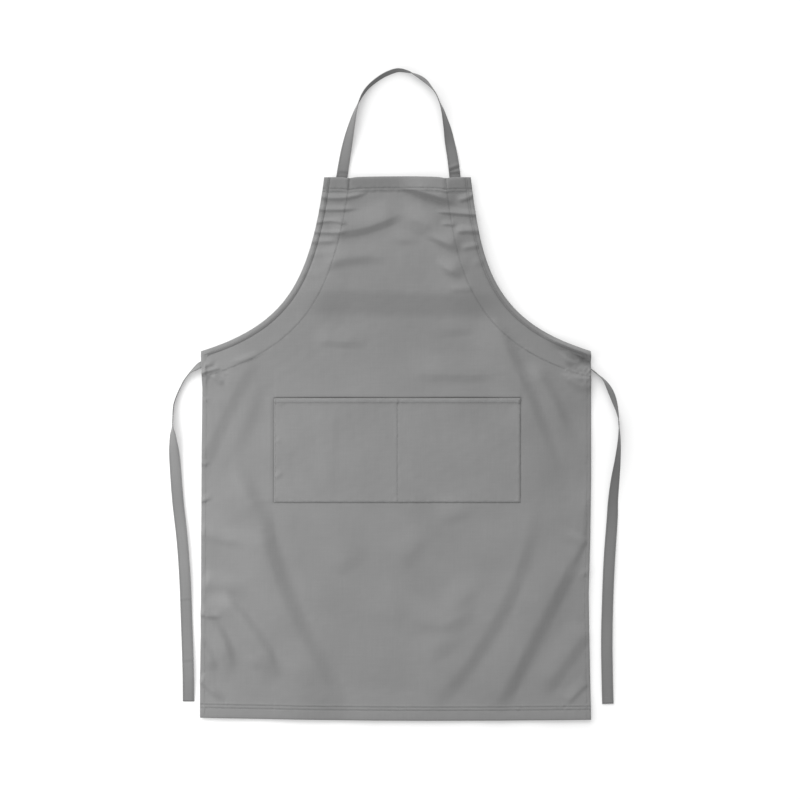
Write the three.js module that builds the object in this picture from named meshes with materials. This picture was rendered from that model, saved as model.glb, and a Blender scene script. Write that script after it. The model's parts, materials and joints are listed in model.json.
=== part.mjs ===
// Kitchen apron with a bib, laid flat on its back.
// Millimetres. X runs across the apron, Y from the hem up to the neck loop, Z up from the floor.
// The origin lies on the floor, in the middle of the whole length and width.
import * as THREE from 'three';

// Driving dimensions
const APRON_WIDTH = 650;
const APRON_LENGTH = 900;
const BIB_HEIGHT = 288;
const BIB_TOP_WIDTH = 243;
const NECK_RISE = 182;
const BIB_LEAN = 2.6;
const CLOTH = 1.0;
const GAP = 0.3;
const NARROW_HEM = 9;
const DEEP_HEM = 22;
const HEM_LAYER = 1.0;
const HEM_BOW = 3.5;
const CASING_WIDTH = 44;
const CASING_INSET = 1.5;
const STRAP_WIDTH = 19;
const STRAP_THICK = 1.2;
const STRAP_INSET = 27;
const POCKET_WIDTH = 408;
const POCKET_HEIGHT = 173;
const POCKET_CENTRE = 2;
const POCKET_DROP = 78;
const POCKET_EASE = 2.5;
const POCKET_HEM = 7;
const POCKET_CLEAR = 20;
const FOLD_ONSET = 22;
const FOLD_FADE = 0.25;
const HEM_STEP = 1.5;
const HEM_BOW_REACH = 120;
const CASING_TOP_PART = 0.006;
const CASING_TURN_PART = 0.8;
const CASING_SIDE_GAP = 2.5;
const CASING_EDGE_ROLL = 12;
const CASING_SLOPE_START = 8;
const CASING_SLOPE_RUN = 26;
const MOUTH_GAPE = 8;
const MOUTH_DEPTH = 20;
const MOUTH_REACH = 18;
const MOUTH_DROP = 33;

// Heights on the body of the apron
const HEM_Y = -(APRON_LENGTH + NECK_RISE) / 2;
const BIB_TOP_Y = HEM_Y + APRON_LENGTH;
const WAIST_Y = BIB_TOP_Y - BIB_HEIGHT;
const POCKET_TOP_Y = WAIST_Y - POCKET_DROP;
const POCKET_LOW_Y = POCKET_TOP_Y - POCKET_HEIGHT;
const SIDE_X = APRON_WIDTH / 2 - 1.5;

// The armhole is one smooth curve from the bib's top corner to the waist corner.
// It leaves the top nearly upright and arrives at the waist nearly level.
const ARMHOLE_PULL = 160;
const ARMHOLE_TOP_LEAN = THREE.MathUtils.degToRad(7);
const ARMHOLE_END_RISE = THREE.MathUtils.degToRad(17);
const armhole = new THREE.CubicBezierCurve(
  new THREE.Vector2(BIB_TOP_WIDTH / 2, BIB_TOP_Y),
  new THREE.Vector2(
    BIB_TOP_WIDTH / 2 + ARMHOLE_PULL * Math.sin(ARMHOLE_TOP_LEAN),
    BIB_TOP_Y - ARMHOLE_PULL * Math.cos(ARMHOLE_TOP_LEAN),
  ),
  new THREE.Vector2(
    SIDE_X - ARMHOLE_PULL * Math.cos(ARMHOLE_END_RISE),
    WAIST_Y + ARMHOLE_PULL * Math.sin(ARMHOLE_END_RISE),
  ),
  new THREE.Vector2(SIDE_X, WAIST_Y),
);

// How far each side edge of the skirt stands out from SIDE_X, down its length.
const SIDE_EDGE = [
  { y: HEM_Y, left: 1.8, right: 1.6 },
  { y: -450, left: 1.0, right: -0.8 },
  { y: -310, left: 0.2, right: -2.0 },
  { y: -140, left: -1.6, right: 1.2 },
  { y: 10, left: -2.4, right: 1.0 },
  { y: WAIST_Y, left: 0, right: 0 },
];

// Folds and gathers of the cloth. Each runs through three points; its crest is steep on the left
// hand of that walk, over the width `steep`, and falls away on the other hand over `gentle`.
const FOLDS = [
  // Long drape folds of the skirt
  { x1: -256, y1: -124, x2: -205, y2: -262, x3: -90, y3: -512, high: 5.0, steep: 20, gentle: 46 },
  { x1: 309, y1: -244, x2: 262, y2: -358, x3: 182, y3: -512, high: 5.5, steep: 17, gentle: 44 },
  { x1: 239, y1: -196, x2: 200, y2: -340, x3: 74, y3: -512, high: 3.6, steep: 22, gentle: 40 },
  { x1: 310, y1: -412, x2: 285, y2: -456, x3: 257, y3: -500, high: 3.2, steep: 20, gentle: 30 },
  { x1: -299, y1: -308, x2: -234, y2: -372, x3: -160, y3: -492, high: 3.0, steep: 15, gentle: 26 },
  { x1: -316, y1: -362, x2: -269, y2: -424, x3: -246, y3: -480, high: 3.2, steep: 17, gentle: 26 },
  { x1: 136, y1: -342, x2: 92, y2: -384, x3: 28, y3: -384, high: 2.2, steep: 22, gentle: 40 },
  // Slanting folds that hang from the waist corners
  { x1: 180, y1: 92, x2: 226, y2: 2, x3: 274, y3: -122, high: 4.2, steep: 17, gentle: 30 },
  { x1: 236, y1: 44, x2: 256, y2: 12, x3: 280, y3: -28, high: 2.8, steep: 14, gentle: 20 },
  { x1: -232, y1: 52, x2: -258, y2: -8, x3: -308, y3: -96, high: 3.2, steep: 20, gentle: 34 },
  { x1: -226, y1: -16, x2: -246, y2: -56, x3: -270, y3: -96, high: 2.2, steep: 17, gentle: 22 },
  // Cross folds of the bib and below it
  { x1: 138, y1: 144, x2: 2, y2: 150, x3: -136, y3: 152, high: 5.0, steep: 27, gentle: 34 },
  { x1: 168, y1: 26, x2: 98, y2: 24, x3: 28, y3: 27, high: 2.2, steep: 14, gentle: 26 },
  { x1: 24, y1: 283, x2: -2, y2: 306, x3: -92, y3: 266, high: 4.0, steep: 12, gentle: 22 },
  { x1: -4, y1: 221, x2: -56, y2: 220, x3: -104, y3: 206, high: 2.8, steep: 12, gentle: 20 },
  { x1: 92, y1: 312, x2: 60, y2: 322, x3: 24, y3: 331, high: 4.0, steep: 10, gentle: 15 },
  { x1: 110, y1: 236, x2: 80, y2: 250, x3: 54, y3: 257, high: 3.0, steep: 11, gentle: 16 },
  { x1: 116, y1: 194, x2: 90, y2: 206, x3: 62, y3: 216, high: 3.2, steep: 11, gentle: 18 },
  // Gathers of the two casings, where the strap draws the cloth up
  { x1: -58, y1: 323, x2: -86, y2: 325, x3: -122, y3: 326, high: 3.0, steep: 8, gentle: 9 },
  { x1: -66, y1: 303, x2: -92, y2: 304, x3: -126, y3: 305, high: 3.2, steep: 8, gentle: 10 },
  { x1: -84, y1: 283, x2: -106, y2: 284, x3: -132, y3: 281, high: 2.8, steep: 8, gentle: 9 },
  { x1: -92, y1: 252, x2: -112, y2: 251, x3: -140, y3: 248, high: 2.6, steep: 8, gentle: 10 },
  { x1: 132, y1: 326, x2: 106, y2: 320, x3: 78, y3: 317, high: 3.0, steep: 8, gentle: 9 },
  { x1: 136, y1: 299, x2: 104, y2: 298, x3: 70, y3: 298, high: 3.2, steep: 8, gentle: 11 },
  { x1: 144, y1: 267, x2: 118, y2: 268, x3: 90, y3: 266, high: 3.4, steep: 9, gentle: 11 },
];

// The strap is one tape: left tie, left casing, neck loop, right casing, right tie.
// `tilt` turns it about its run, raising the edge on the right hand; `rest` is where its low edge lies.
const IN_CASING = CLOTH + GAP;
const LEFT_TIE = [
  { x: -344.5, y: -510, tilt: 0, rest: 0 },
  { x: -344.8, y: -458, tilt: 4, rest: 0 },
  { x: -347.6, y: -375, tilt: 0, rest: 0 },
  { x: -350.0, y: -308, tilt: 6, rest: 0 },
  { x: -354.8, y: -242, tilt: 12, rest: 0 },
  { x: -362.0, y: -176, tilt: 3, rest: 0 },
  { x: -367.0, y: -110, tilt: 18, rest: 0 },
  { x: -369.6, y: -76, tilt: 51, rest: 0 },
  { x: -370.3, y: -45, tilt: 87, rest: 0 },
  { x: -368.6, y: -18, tilt: 89, rest: 0 },
  { x: -362.7, y: 0, tilt: 89, rest: 0 },
  { x: -356.9, y: 12.6, tilt: 88, rest: 0 },
  { x: -350.4, y: 24.5, tilt: 80, rest: 0 },
  { x: -342.0, y: 35, tilt: 64, rest: 0.3 },
  { x: -333.0, y: 41.5, tilt: 38, rest: 0.9 },
  { x: -322.0, y: 46.5, tilt: 8, rest: IN_CASING },
];
const NECK_LOOP = [
  { x: -89.6, y: 362, tilt: 0, rest: IN_CASING },
  { x: -87.2, y: 378, tilt: 5, rest: 0.6 },
  { x: -82.5, y: 405, tilt: 28, rest: 0 },
  { x: -77.0, y: 431.6, tilt: 46, rest: 0 },
  { x: -70.6, y: 458, tilt: 64, rest: 0 },
  { x: -66.6, y: 471.4, tilt: 77, rest: 0 },
  { x: -61.4, y: 484.7, tilt: 91, rest: 0 },
  { x: -54.4, y: 498, tilt: 103, rest: 0 },
  { x: -43.7, y: 511.3, tilt: 108, rest: 0 },
  { x: -26.7, y: 524.6, tilt: 112, rest: 0 },
  { x: -11.6, y: 532.6, tilt: 113, rest: 0 },
  { x: 4.0, y: 537.0, tilt: 111, rest: 0 },
  { x: 20.6, y: 534.2, tilt: 96, rest: 0 },
  { x: 30.2, y: 530.4, tilt: 80, rest: 0 },
  { x: 41.0, y: 524.6, tilt: 71, rest: 0 },
  { x: 49.8, y: 517.9, tilt: 71, rest: 0 },
  { x: 58.9, y: 508, tilt: 82, rest: 0 },
  { x: 66.2, y: 498, tilt: 87, rest: 0 },
  { x: 71.8, y: 484.7, tilt: 87, rest: 0 },
  { x: 77.0, y: 471.4, tilt: 76, rest: 0 },
  { x: 80.7, y: 458, tilt: 65, rest: 0 },
  { x: 85.5, y: 438, tilt: 48, rest: 0 },
  { x: 89.0, y: 418, tilt: 33, rest: 0 },
  { x: 93.8, y: 392, tilt: 12, rest: 0.3 },
  { x: 97.6, y: 362, tilt: 0, rest: IN_CASING },
];
const RIGHT_TIE = [
  { x: 324.0, y: 43, tilt: 5, rest: IN_CASING },
  { x: 333.5, y: 37, tilt: 40, rest: 0.9 },
  { x: 340.0, y: 30.5, tilt: 72, rest: 0.3 },
  { x: 345.5, y: 22.5, tilt: 68, rest: 0 },
  { x: 354.5, y: 7, tilt: 63, rest: 0 },
  { x: 361.4, y: -10, tilt: 63, rest: 0 },
  { x: 367.2, y: -31, tilt: 78, rest: 0 },
  { x: 369.4, y: -48, tilt: 89, rest: 0 },
  { x: 370.0, y: -76, tilt: 74, rest: 0 },
  { x: 367.3, y: -110, tilt: 56, rest: 0 },
  { x: 363.2, y: -143, tilt: 38, rest: 0 },
  { x: 359.9, y: -176, tilt: 27, rest: 0 },
  { x: 358.4, y: -209, tilt: 14, rest: 0 },
  { x: 353.8, y: -275, tilt: 4, rest: 0 },
  { x: 351.0, y: -342, tilt: 8, rest: 0 },
  { x: 349.6, y: -408, tilt: 2, rest: 0 },
  { x: 350.4, y: -475, tilt: 4, rest: 0 },
  { x: 351.6, y: -514, tilt: 0, rest: 0 },
];

// Mesh fineness
const SKIRT_ROWS = 30;
const GATHERED_ROWS = 18;
const GATHERED_PART = 0.35;
const LOWER_BIB_ROWS = 20;
const INNER_COLUMNS = 28;
const CASING_ROWS = 30;
const CASING_COLUMNS = 3;
const POCKET_COLUMNS = 20;
const POCKET_ROWS = 6;
const CASING_STATIONS = 9;
const FIRST_STATION_PART = 0.03;
const LAST_STATION_PART = 0.95;
const STEPS_PER_STATION = 2;
const FOLD_SAMPLES = 24;

// Small helpers
const smooth = (from, to, value) => THREE.MathUtils.smoothstep(value, from, to);
const mix = THREE.MathUtils.lerp;

// Reads a named column of a table whose rows run along y.
function readTable(table, column, y) {
  for (let i = 1; i < table.length; i += 1) {
    const before = table[i - 1];
    const after = table[i];
    if (y <= after.y || i === table.length - 1) {
      return mix(before[column], after[column], smooth(before.y, after.y, y));
    }
  }
  return 0;
}

// The bib sits a little to the right of the skirt.
const leanAt = (y) => BIB_LEAN * smooth(WAIST_Y, BIB_TOP_Y, y);

// Distance from a point of the body to the nearer armhole edge.
const armholePoints = armhole.getSpacedPoints(60);
function armholeDistance(x, y) {
  const across = Math.abs(x - leanAt(y));
  return Math.min(...armholePoints.map((p) => Math.hypot(p.x - across, p.y - y)));
}

// Points along the crest line of each fold, worked out once.
const foldLines = FOLDS.map((fold) => {
  const bend = new THREE.Vector2(
    2 * fold.x2 - (fold.x1 + fold.x3) / 2,
    2 * fold.y2 - (fold.y1 + fold.y3) / 2,
  );
  const line = new THREE.QuadraticBezierCurve(
    new THREE.Vector2(fold.x1, fold.y1),
    bend,
    new THREE.Vector2(fold.x3, fold.y3),
  );
  return line.getPoints(FOLD_SAMPLES);
});

// Height that one fold adds at a point: a crest that dies away at both ends.
function foldHeight(fold, line, x, y) {
  let nearest = Infinity;
  let along = 0;
  let offset = 0;
  for (let i = 0; i < FOLD_SAMPLES; i += 1) {
    const from = line[i];
    const run = line[i + 1].clone().sub(from);
    const reach = ((x - from.x) * run.x + (y - from.y) * run.y) / run.lengthSq();
    const step = THREE.MathUtils.clamp(reach, 0, 1);
    const dx = x - from.x - run.x * step;
    const dy = y - from.y - run.y * step;
    const distance = Math.hypot(dx, dy);
    if (distance < nearest) {
      nearest = distance;
      along = (i + step) / FOLD_SAMPLES;
      offset = Math.sign(run.x * dy - run.y * dx) * distance;
    }
  }
  const width = offset > 0 ? fold.steep : fold.gentle;
  const ends = smooth(0, FOLD_FADE, along) * smooth(0, FOLD_FADE, 1 - along);
  return fold.high * ends * Math.exp(-((offset / width) ** 2));
}

// The cloth lies flat under the pocket, and its folds start clear of it.
function besidePocket(x, y) {
  const outX = Math.max(Math.abs(x - POCKET_CENTRE) - POCKET_WIDTH / 2, 0);
  const outY = Math.max(y - POCKET_TOP_Y, POCKET_LOW_Y - y, 0);
  return smooth(POCKET_CLEAR, POCKET_CLEAR + FOLD_ONSET, Math.hypot(outX, outY));
}

// The cloth rides over the casing and the strap inside it, and gapes where the ties come out.
const CASING_RIDE = IN_CASING + STRAP_THICK + 2 * GAP;
function casingRide(x, y) {
  const depth = armholeDistance(x, y);
  const ride = mix(CLOTH + GAP, CASING_RIDE, smooth(0, CASING_EDGE_ROLL, depth));
  const slopeStart = CASING_WIDTH + CASING_SLOPE_START;
  return ride * (1 - smooth(slopeStart, slopeStart + CASING_SLOPE_RUN, depth));
}
function mouthGape(x, y) {
  const inward = (SIDE_X - Math.abs(x)) / MOUTH_DEPTH;
  const beside = (y - (WAIST_Y - MOUTH_DROP)) / MOUTH_REACH;
  return MOUTH_GAPE * Math.exp(-(inward ** 2) - beside ** 2);
}

function undersideOfPanel(x, y) {
  const folds = FOLDS.reduce((sum, fold, i) => sum + foldHeight(fold, foldLines[i], x, y), 0);
  return casingRide(x, y) + mouthGape(x, y) + folds * besidePocket(x, y);
}

// A sheet of cloth: a thin box whose points `place` moves to where they belong.
// `place` is given the column, the row and whether the point is on the upper face.
function sheet(columns, rows, place) {
  const geometry = new THREE.BoxGeometry(1, 1, 1, columns, rows, 1);
  const position = geometry.attributes.position;
  for (let i = 0; i < position.count; i += 1) {
    const column = Math.round((position.getX(i) + 0.5) * columns);
    const row = Math.round((position.getY(i) + 0.5) * rows);
    const point = place(column, row, position.getZ(i) > 0);
    position.setXYZ(i, point.x, point.y, point.z);
  }
  matchDiagonals(geometry);
  geometry.computeVertexNormals();
  return geometry;
}

// A box cuts the squares of its upper and lower faces along opposite diagonals.
// Cutting both the same way keeps the wall's thickness where the cloth twists.
const LOWER_FACE = 5;
const CORNERS_PER_SQUARE = 6;
function matchDiagonals(geometry) {
  const { start, count } = geometry.groups[LOWER_FACE];
  const corners = geometry.index.array;
  for (let i = start; i < start + count; i += CORNERS_PER_SQUARE) {
    const [a, b, d, , c] = corners.slice(i, i + CORNERS_PER_SQUARE);
    corners.set([a, b, c, a, c, d], i);
  }
}

// Rows of the front panel from the hem up: height, left and right edge, and slant of the edge.
function panelRows() {
  const rows = [];
  const skirtHeights = [0, DEEP_HEM - 2, DEEP_HEM + 2];
  for (let i = 1; i < SKIRT_ROWS - 2; i += 1) {
    const start = DEEP_HEM + 2;
    skirtHeights.push(start + ((WAIST_Y - HEM_Y - start) * i) / (SKIRT_ROWS - 2));
  }
  skirtHeights.forEach((height) => {
    const y = HEM_Y + height;
    const left = -SIDE_X - readTable(SIDE_EDGE, 'left', y);
    const right = SIDE_X + readTable(SIDE_EDGE, 'right', y);
    rows.push({ y, left, right, slant: 1 });
  });
  for (let i = LOWER_BIB_ROWS; i >= 0; i -= 1) {
    rows.push(bibRow(mix(GATHERED_PART, 1, i / LOWER_BIB_ROWS)));
  }
  for (let i = GATHERED_ROWS - 1; i >= 0; i -= 1) {
    rows.push(bibRow(GATHERED_PART * (i / GATHERED_ROWS)));
  }
  return rows;
}
function bibRow(part) {
  const edge = armhole.getPointAt(part);
  const lean = leanAt(edge.y);
  const slant = Math.abs(armhole.getTangentAt(part).y);
  return { y: edge.y, left: lean - edge.x, right: lean + edge.x, slant };
}

// Front panel: bib and skirt in one piece, with a doubled hem all round.
function frontPanel() {
  const rows = panelRows();
  const columns = INNER_COLUMNS + 4;
  const place = (column, row, upper) => {
    const { y: level, left, right, slant } = rows[row];
    const turn = NARROW_HEM / slant;
    const marks = [0, turn - HEM_STEP, turn + HEM_STEP];
    const inner = (column - 2) / INNER_COLUMNS;
    let x = mix(left + marks[2], right - marks[2], inner);
    if (column < 2) {
      x = left + marks[column];
    } else if (column > columns - 2) {
      x = right - marks[columns - column];
    }
    const across = (x - left) / (right - left);
    const bow = HEM_BOW * (1 - smooth(HEM_Y, HEM_Y + HEM_BOW_REACH, level));
    const y = level - bow * Math.sin(Math.PI * across);
    const onSide = column < 2 || column > columns - 2;
    const onEnd = level < HEM_Y + DEEP_HEM || level > BIB_TOP_Y - DEEP_HEM;
    const wall = CLOTH + (onSide || onEnd ? HEM_LAYER : 0);
    return new THREE.Vector3(x, y, undersideOfPanel(x, y) + (upper ? wall : 0));
  };
  return sheet(columns, rows.length - 1, place);
}

// Casing: a curved facing behind each armhole that makes the channel for the strap.
function casing(side) {
  const place = (column, row, upper) => {
    const part = mix(CASING_TOP_PART, 1, row / CASING_ROWS);
    const edge = armhole.getPointAt(part);
    const run = armhole.getTangentAt(part);
    const inward = new THREE.Vector2(run.y, -run.x);
    inward.lerp(new THREE.Vector2(0, -1), smooth(CASING_TURN_PART, 1, part)).normalize();
    const depth = mix(CASING_INSET, CASING_WIDTH, column / CASING_COLUMNS);
    const x = Math.min(edge.x + inward.x * depth, SIDE_X - CASING_SIDE_GAP);
    const y = edge.y + inward.y * depth;
    return new THREE.Vector3(side * x + leanAt(y), y, upper ? CLOTH : 0);
  };
  const mirrored = (column, row, upper) => place(CASING_COLUMNS - column, row, upper);
  return sheet(CASING_COLUMNS, CASING_ROWS, side > 0 ? place : mirrored);
}

// Pocket: one wide patch, sewn at both sides, along the bottom and up the middle.
function pocket() {
  const place = (column, row, upper) => {
    const across = column / POCKET_COLUMNS;
    const up = row < POCKET_ROWS ? (row / (POCKET_ROWS - 1)) * (1 - POCKET_HEM / POCKET_HEIGHT) : 1;
    const ease = POCKET_EASE * Math.sin(2 * Math.PI * across) ** 2 * up ** 2;
    const hem = row >= POCKET_ROWS - 1 ? HEM_LAYER : 0;
    return new THREE.Vector3(
      POCKET_CENTRE + POCKET_WIDTH * (across - 0.5),
      POCKET_LOW_Y + POCKET_HEIGHT * up,
      CLOTH + GAP + ease + (upper ? CLOTH + hem : 0),
    );
  };
  return sheet(POCKET_COLUMNS, POCKET_ROWS, place);
}

// Stations of the strap inside one casing, from the bib's top to the side mouth.
function casingStations(side) {
  const stations = [];
  for (let i = 0; i < CASING_STATIONS; i += 1) {
    const part = mix(FIRST_STATION_PART, LAST_STATION_PART, i / (CASING_STATIONS - 1));
    const edge = armhole.getPointAt(part);
    const run = armhole.getTangentAt(part);
    const y = edge.y - run.x * STRAP_INSET;
    const x = side * (edge.x + run.y * STRAP_INSET) + leanAt(y);
    stations.push({ x, y, tilt: 0, rest: IN_CASING });
  }
  return side > 0 ? stations : stations.reverse();
}

function strap() {
  const stations = [
    ...LEFT_TIE,
    ...casingStations(-1),
    ...NECK_LOOP,
    ...casingStations(1),
    ...RIGHT_TIE,
  ];
  const path = new THREE.SplineCurve(stations.map((s) => new THREE.Vector2(s.x, s.y)));
  const pose = new THREE.SplineCurve(stations.map((s) => new THREE.Vector2(s.tilt, s.rest)));
  const steps = (stations.length - 1) * STEPS_PER_STATION;
  const place = (column, row, upper) => {
    const part = row / steps;
    const centre = path.getPoint(part);
    const run = path.getTangent(part);
    const set = pose.getPoint(part);
    const tilt = THREE.MathUtils.degToRad(Math.max(set.x, 0));
    const wide = STRAP_WIDTH * (column - 0.5);
    const thick = STRAP_THICK * (upper ? 0.5 : -0.5);
    const aside = wide * Math.cos(tilt) - thick * Math.sin(tilt);
    const low = (STRAP_WIDTH * Math.sin(tilt) + STRAP_THICK * Math.abs(Math.cos(tilt))) / 2;
    return new THREE.Vector3(
      centre.x + run.y * aside,
      centre.y - run.x * aside,
      Math.max(set.y, 0) + low + wide * Math.sin(tilt) + thick * Math.cos(tilt),
    );
  };
  return sheet(1, steps, place);
}

// Each piece has its own cloth.
function piece(name, geometry, colour, roughness) {
  const material = new THREE.MeshStandardMaterial({ color: colour, roughness, metalness: 0 });
  material.name = name;
  const mesh = new THREE.Mesh(geometry, material);
  mesh.name = name;
  return mesh;
}

const apron = new THREE.Group();
apron.name = 'kitchen_apron';
apron.add(piece('front_panel', frontPanel(), '#8c8c8c', 0.9));
apron.add(piece('casing_left', casing(-1), '#898989', 0.9));
apron.add(piece('casing_right', casing(1), '#898989', 0.9));
apron.add(piece('pocket', pocket(), '#8d8d8d', 0.9));
apron.add(piece('strap', strap(), '#878787', 0.88));

export default apron;
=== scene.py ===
# %% [markdown]
# # A kitchen apron, laid flat
# A grey cotton apron lies on its back on a white table, seen from straight above. Bib and skirt
# are one cut of cloth, a wide patch pocket is sewn on the front, and one long tape makes the left
# tie, the neck loop and the right tie. Each piece of cloth starts here as a fine flat grid that is
# moved into its folds, because a grid bends the way cloth does. The main places come from the CAD
# frame, and short tables give the finer ones.

# %% Load the CAD frame
import json
import math

import bmesh
import bpy
import numpy as np
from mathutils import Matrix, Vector

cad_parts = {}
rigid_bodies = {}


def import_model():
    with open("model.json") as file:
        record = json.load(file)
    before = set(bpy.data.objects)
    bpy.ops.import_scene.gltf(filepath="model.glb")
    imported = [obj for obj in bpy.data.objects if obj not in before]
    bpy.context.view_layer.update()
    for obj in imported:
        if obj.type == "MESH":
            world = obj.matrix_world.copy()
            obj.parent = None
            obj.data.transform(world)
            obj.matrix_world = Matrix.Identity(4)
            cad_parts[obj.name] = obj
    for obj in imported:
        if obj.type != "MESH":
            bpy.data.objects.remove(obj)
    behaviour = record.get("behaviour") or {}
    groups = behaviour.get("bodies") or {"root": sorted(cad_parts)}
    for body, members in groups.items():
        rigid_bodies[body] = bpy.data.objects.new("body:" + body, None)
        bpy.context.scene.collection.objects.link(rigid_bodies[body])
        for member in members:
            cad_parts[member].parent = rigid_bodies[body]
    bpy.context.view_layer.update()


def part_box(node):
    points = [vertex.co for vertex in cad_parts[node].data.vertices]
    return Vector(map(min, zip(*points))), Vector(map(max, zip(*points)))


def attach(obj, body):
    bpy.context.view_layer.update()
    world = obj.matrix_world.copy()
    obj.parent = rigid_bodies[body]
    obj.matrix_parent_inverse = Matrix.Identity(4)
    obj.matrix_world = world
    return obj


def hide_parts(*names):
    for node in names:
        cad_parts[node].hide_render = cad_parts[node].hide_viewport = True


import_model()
MM = 0.001

# %% [markdown]
# ## Camera
# Flat clothes are photographed from a copy stand: the camera looks straight down, from far enough
# away that near and far parts have the same scale. A long lens at five metres does that here, and
# its angle is worked out from how much of the table the picture shows. Tones are kept as they are
# lit, without a film curve, because a catalogue shows a cloth's true grey.

# %% Camera
# Width of table that the picture shows, its middle, and the camera's height: metres.
PICTURE_WIDTH = 1.328
PICTURE_CENTRE = (0.0066, -0.010)
CAMERA_HEIGHT = 5.0
camera_data = bpy.data.cameras.new("copy_stand")
camera_data.lens = camera_data.sensor_width * CAMERA_HEIGHT / PICTURE_WIDTH
camera = bpy.data.objects.new("copy_stand", camera_data)
camera.location = (*PICTURE_CENTRE, CAMERA_HEIGHT)
scene_objects = bpy.context.scene.collection.objects
scene_objects.link(camera)
bpy.context.scene.camera = camera
bpy.context.scene.view_settings.view_transform = "Standard"
print("lens in millimetres:", round(camera_data.lens, 1))

# %% [markdown]
# ## Light
# A catalogue photo has a bright, even room and large soft lamps. The main lamp is as wide as a wall
# and stands far beyond the top, a little to the left, so cross folds show by their shading. A long
# one, close by on the left, makes that side of the cloth a little brighter and brings out the upright
# folds. White walls, here the world's own light, fill the shadows until they are only pale grey.

# %% Light
ROOM_LIGHT = 1.02
# Name, power in watts, width, height, and place from the middle of the apron: metres.
LAMPS = [
    ("main_lamp", 8200, 22.0, 22.0, (-5.4, 16.3, 10.3)),
    ("left_lamp", 9.6, 1.2, 0.6, (-0.88, -0.11, 0.5)),
]
world = bpy.data.worlds.new("white_room")
world.use_nodes = True
background = world.node_tree.nodes["Background"]
background.inputs["Color"].default_value = (1, 1, 1, 1)
background.inputs["Strength"].default_value = ROOM_LIGHT
bpy.context.scene.world = world

for name, power, width, height, place in LAMPS:
    lamp_data = bpy.data.lights.new(name, "AREA")
    lamp_data.energy = power
    lamp_data.shape = "RECTANGLE"
    lamp_data.size = width
    lamp_data.size_y = height
    lamp = bpy.data.objects.new(name, lamp_data)
    lamp.location = place
    lamp.rotation_euler = Vector(place).to_track_quat("Z", "Y").to_euler()
    lamp.visible_camera = False
    scene_objects.link(lamp)
print("lamps:", [name for name, *_ in LAMPS])

# %% [markdown]
# ## Materials
# All the cloth is plain-woven grey cotton, and the tape's is a touch darker. The eye reads cotton
# from three things: a dull surface with a faint bright fuzz at grazing angles, thicker threads that
# run through as pale and dark streaks, and the weave itself. An image of cloth could give all that,
# but nodes keep their scale at any size. Cloth coordinates come from each piece's own map, in metres
# of flat cloth, so the weave follows the tape round its bends.

# %% Material helpers
def linear(hex_colour):
    """A colour written as sRGB hex, as the linear values that shaders use."""
    parts = [int(hex_colour[i:i + 2], 16) / 255 for i in (1, 3, 5)]
    curve = [p / 12.92 if p <= 0.04045 else ((p + 0.055) / 1.055) ** 2.4 for p in parts]
    return (*curve, 1.0)


def add(tree, kind, inputs=None, **settings):
    """Adds a shader node; an input is given a value, or an output to link to it."""
    node = tree.nodes.new("ShaderNode" + kind)
    for name, value in settings.items():
        setattr(node, name, value)
    for name, value in (inputs or {}).items():
        if isinstance(value, bpy.types.NodeSocket):
            tree.links.new(value, node.inputs[name])
        else:
            node.inputs[name].default_value = value
    return node


print("middle grey in linear light:", round(linear("#808080")[0], 3))

# %% [markdown]
# Real threads of this cloth are about 0.4 mm apart, finer than the picture can show, so the weave
# is drawn coarser, at 0.8 mm. Streaks of thicker thread are 2.2 mm wide and some 50 mm long. The
# tops of the threads are worn smooth, so roughness follows the weave too. Along the seams, creases
# and steps between layers the colour is painted darker, as shade in those grooves, which the
# attribute `seam` marks.

# %% Cotton cloth
WEAVE_PERIOD = 0.8 * MM
WEAVE_DEEP = 0.1 * MM
WEAVE_STRENGTH = 0.3
THREAD_TOP_ROUGHNESS = 0.84
THREAD_GAP_ROUGHNESS = 0.94
STREAK_WIDTH = 2.2 * MM
STREAK_LENGTH = 50 * MM
STREAK_TONE = 0.018
PATCH_SIZE = 60 * MM
PATCH_TONE = 0.025
# A wave texture with a scale of 1 has this many bands in a metre.
BANDS_PER_SCALE = 20 / (2 * math.pi)


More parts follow.
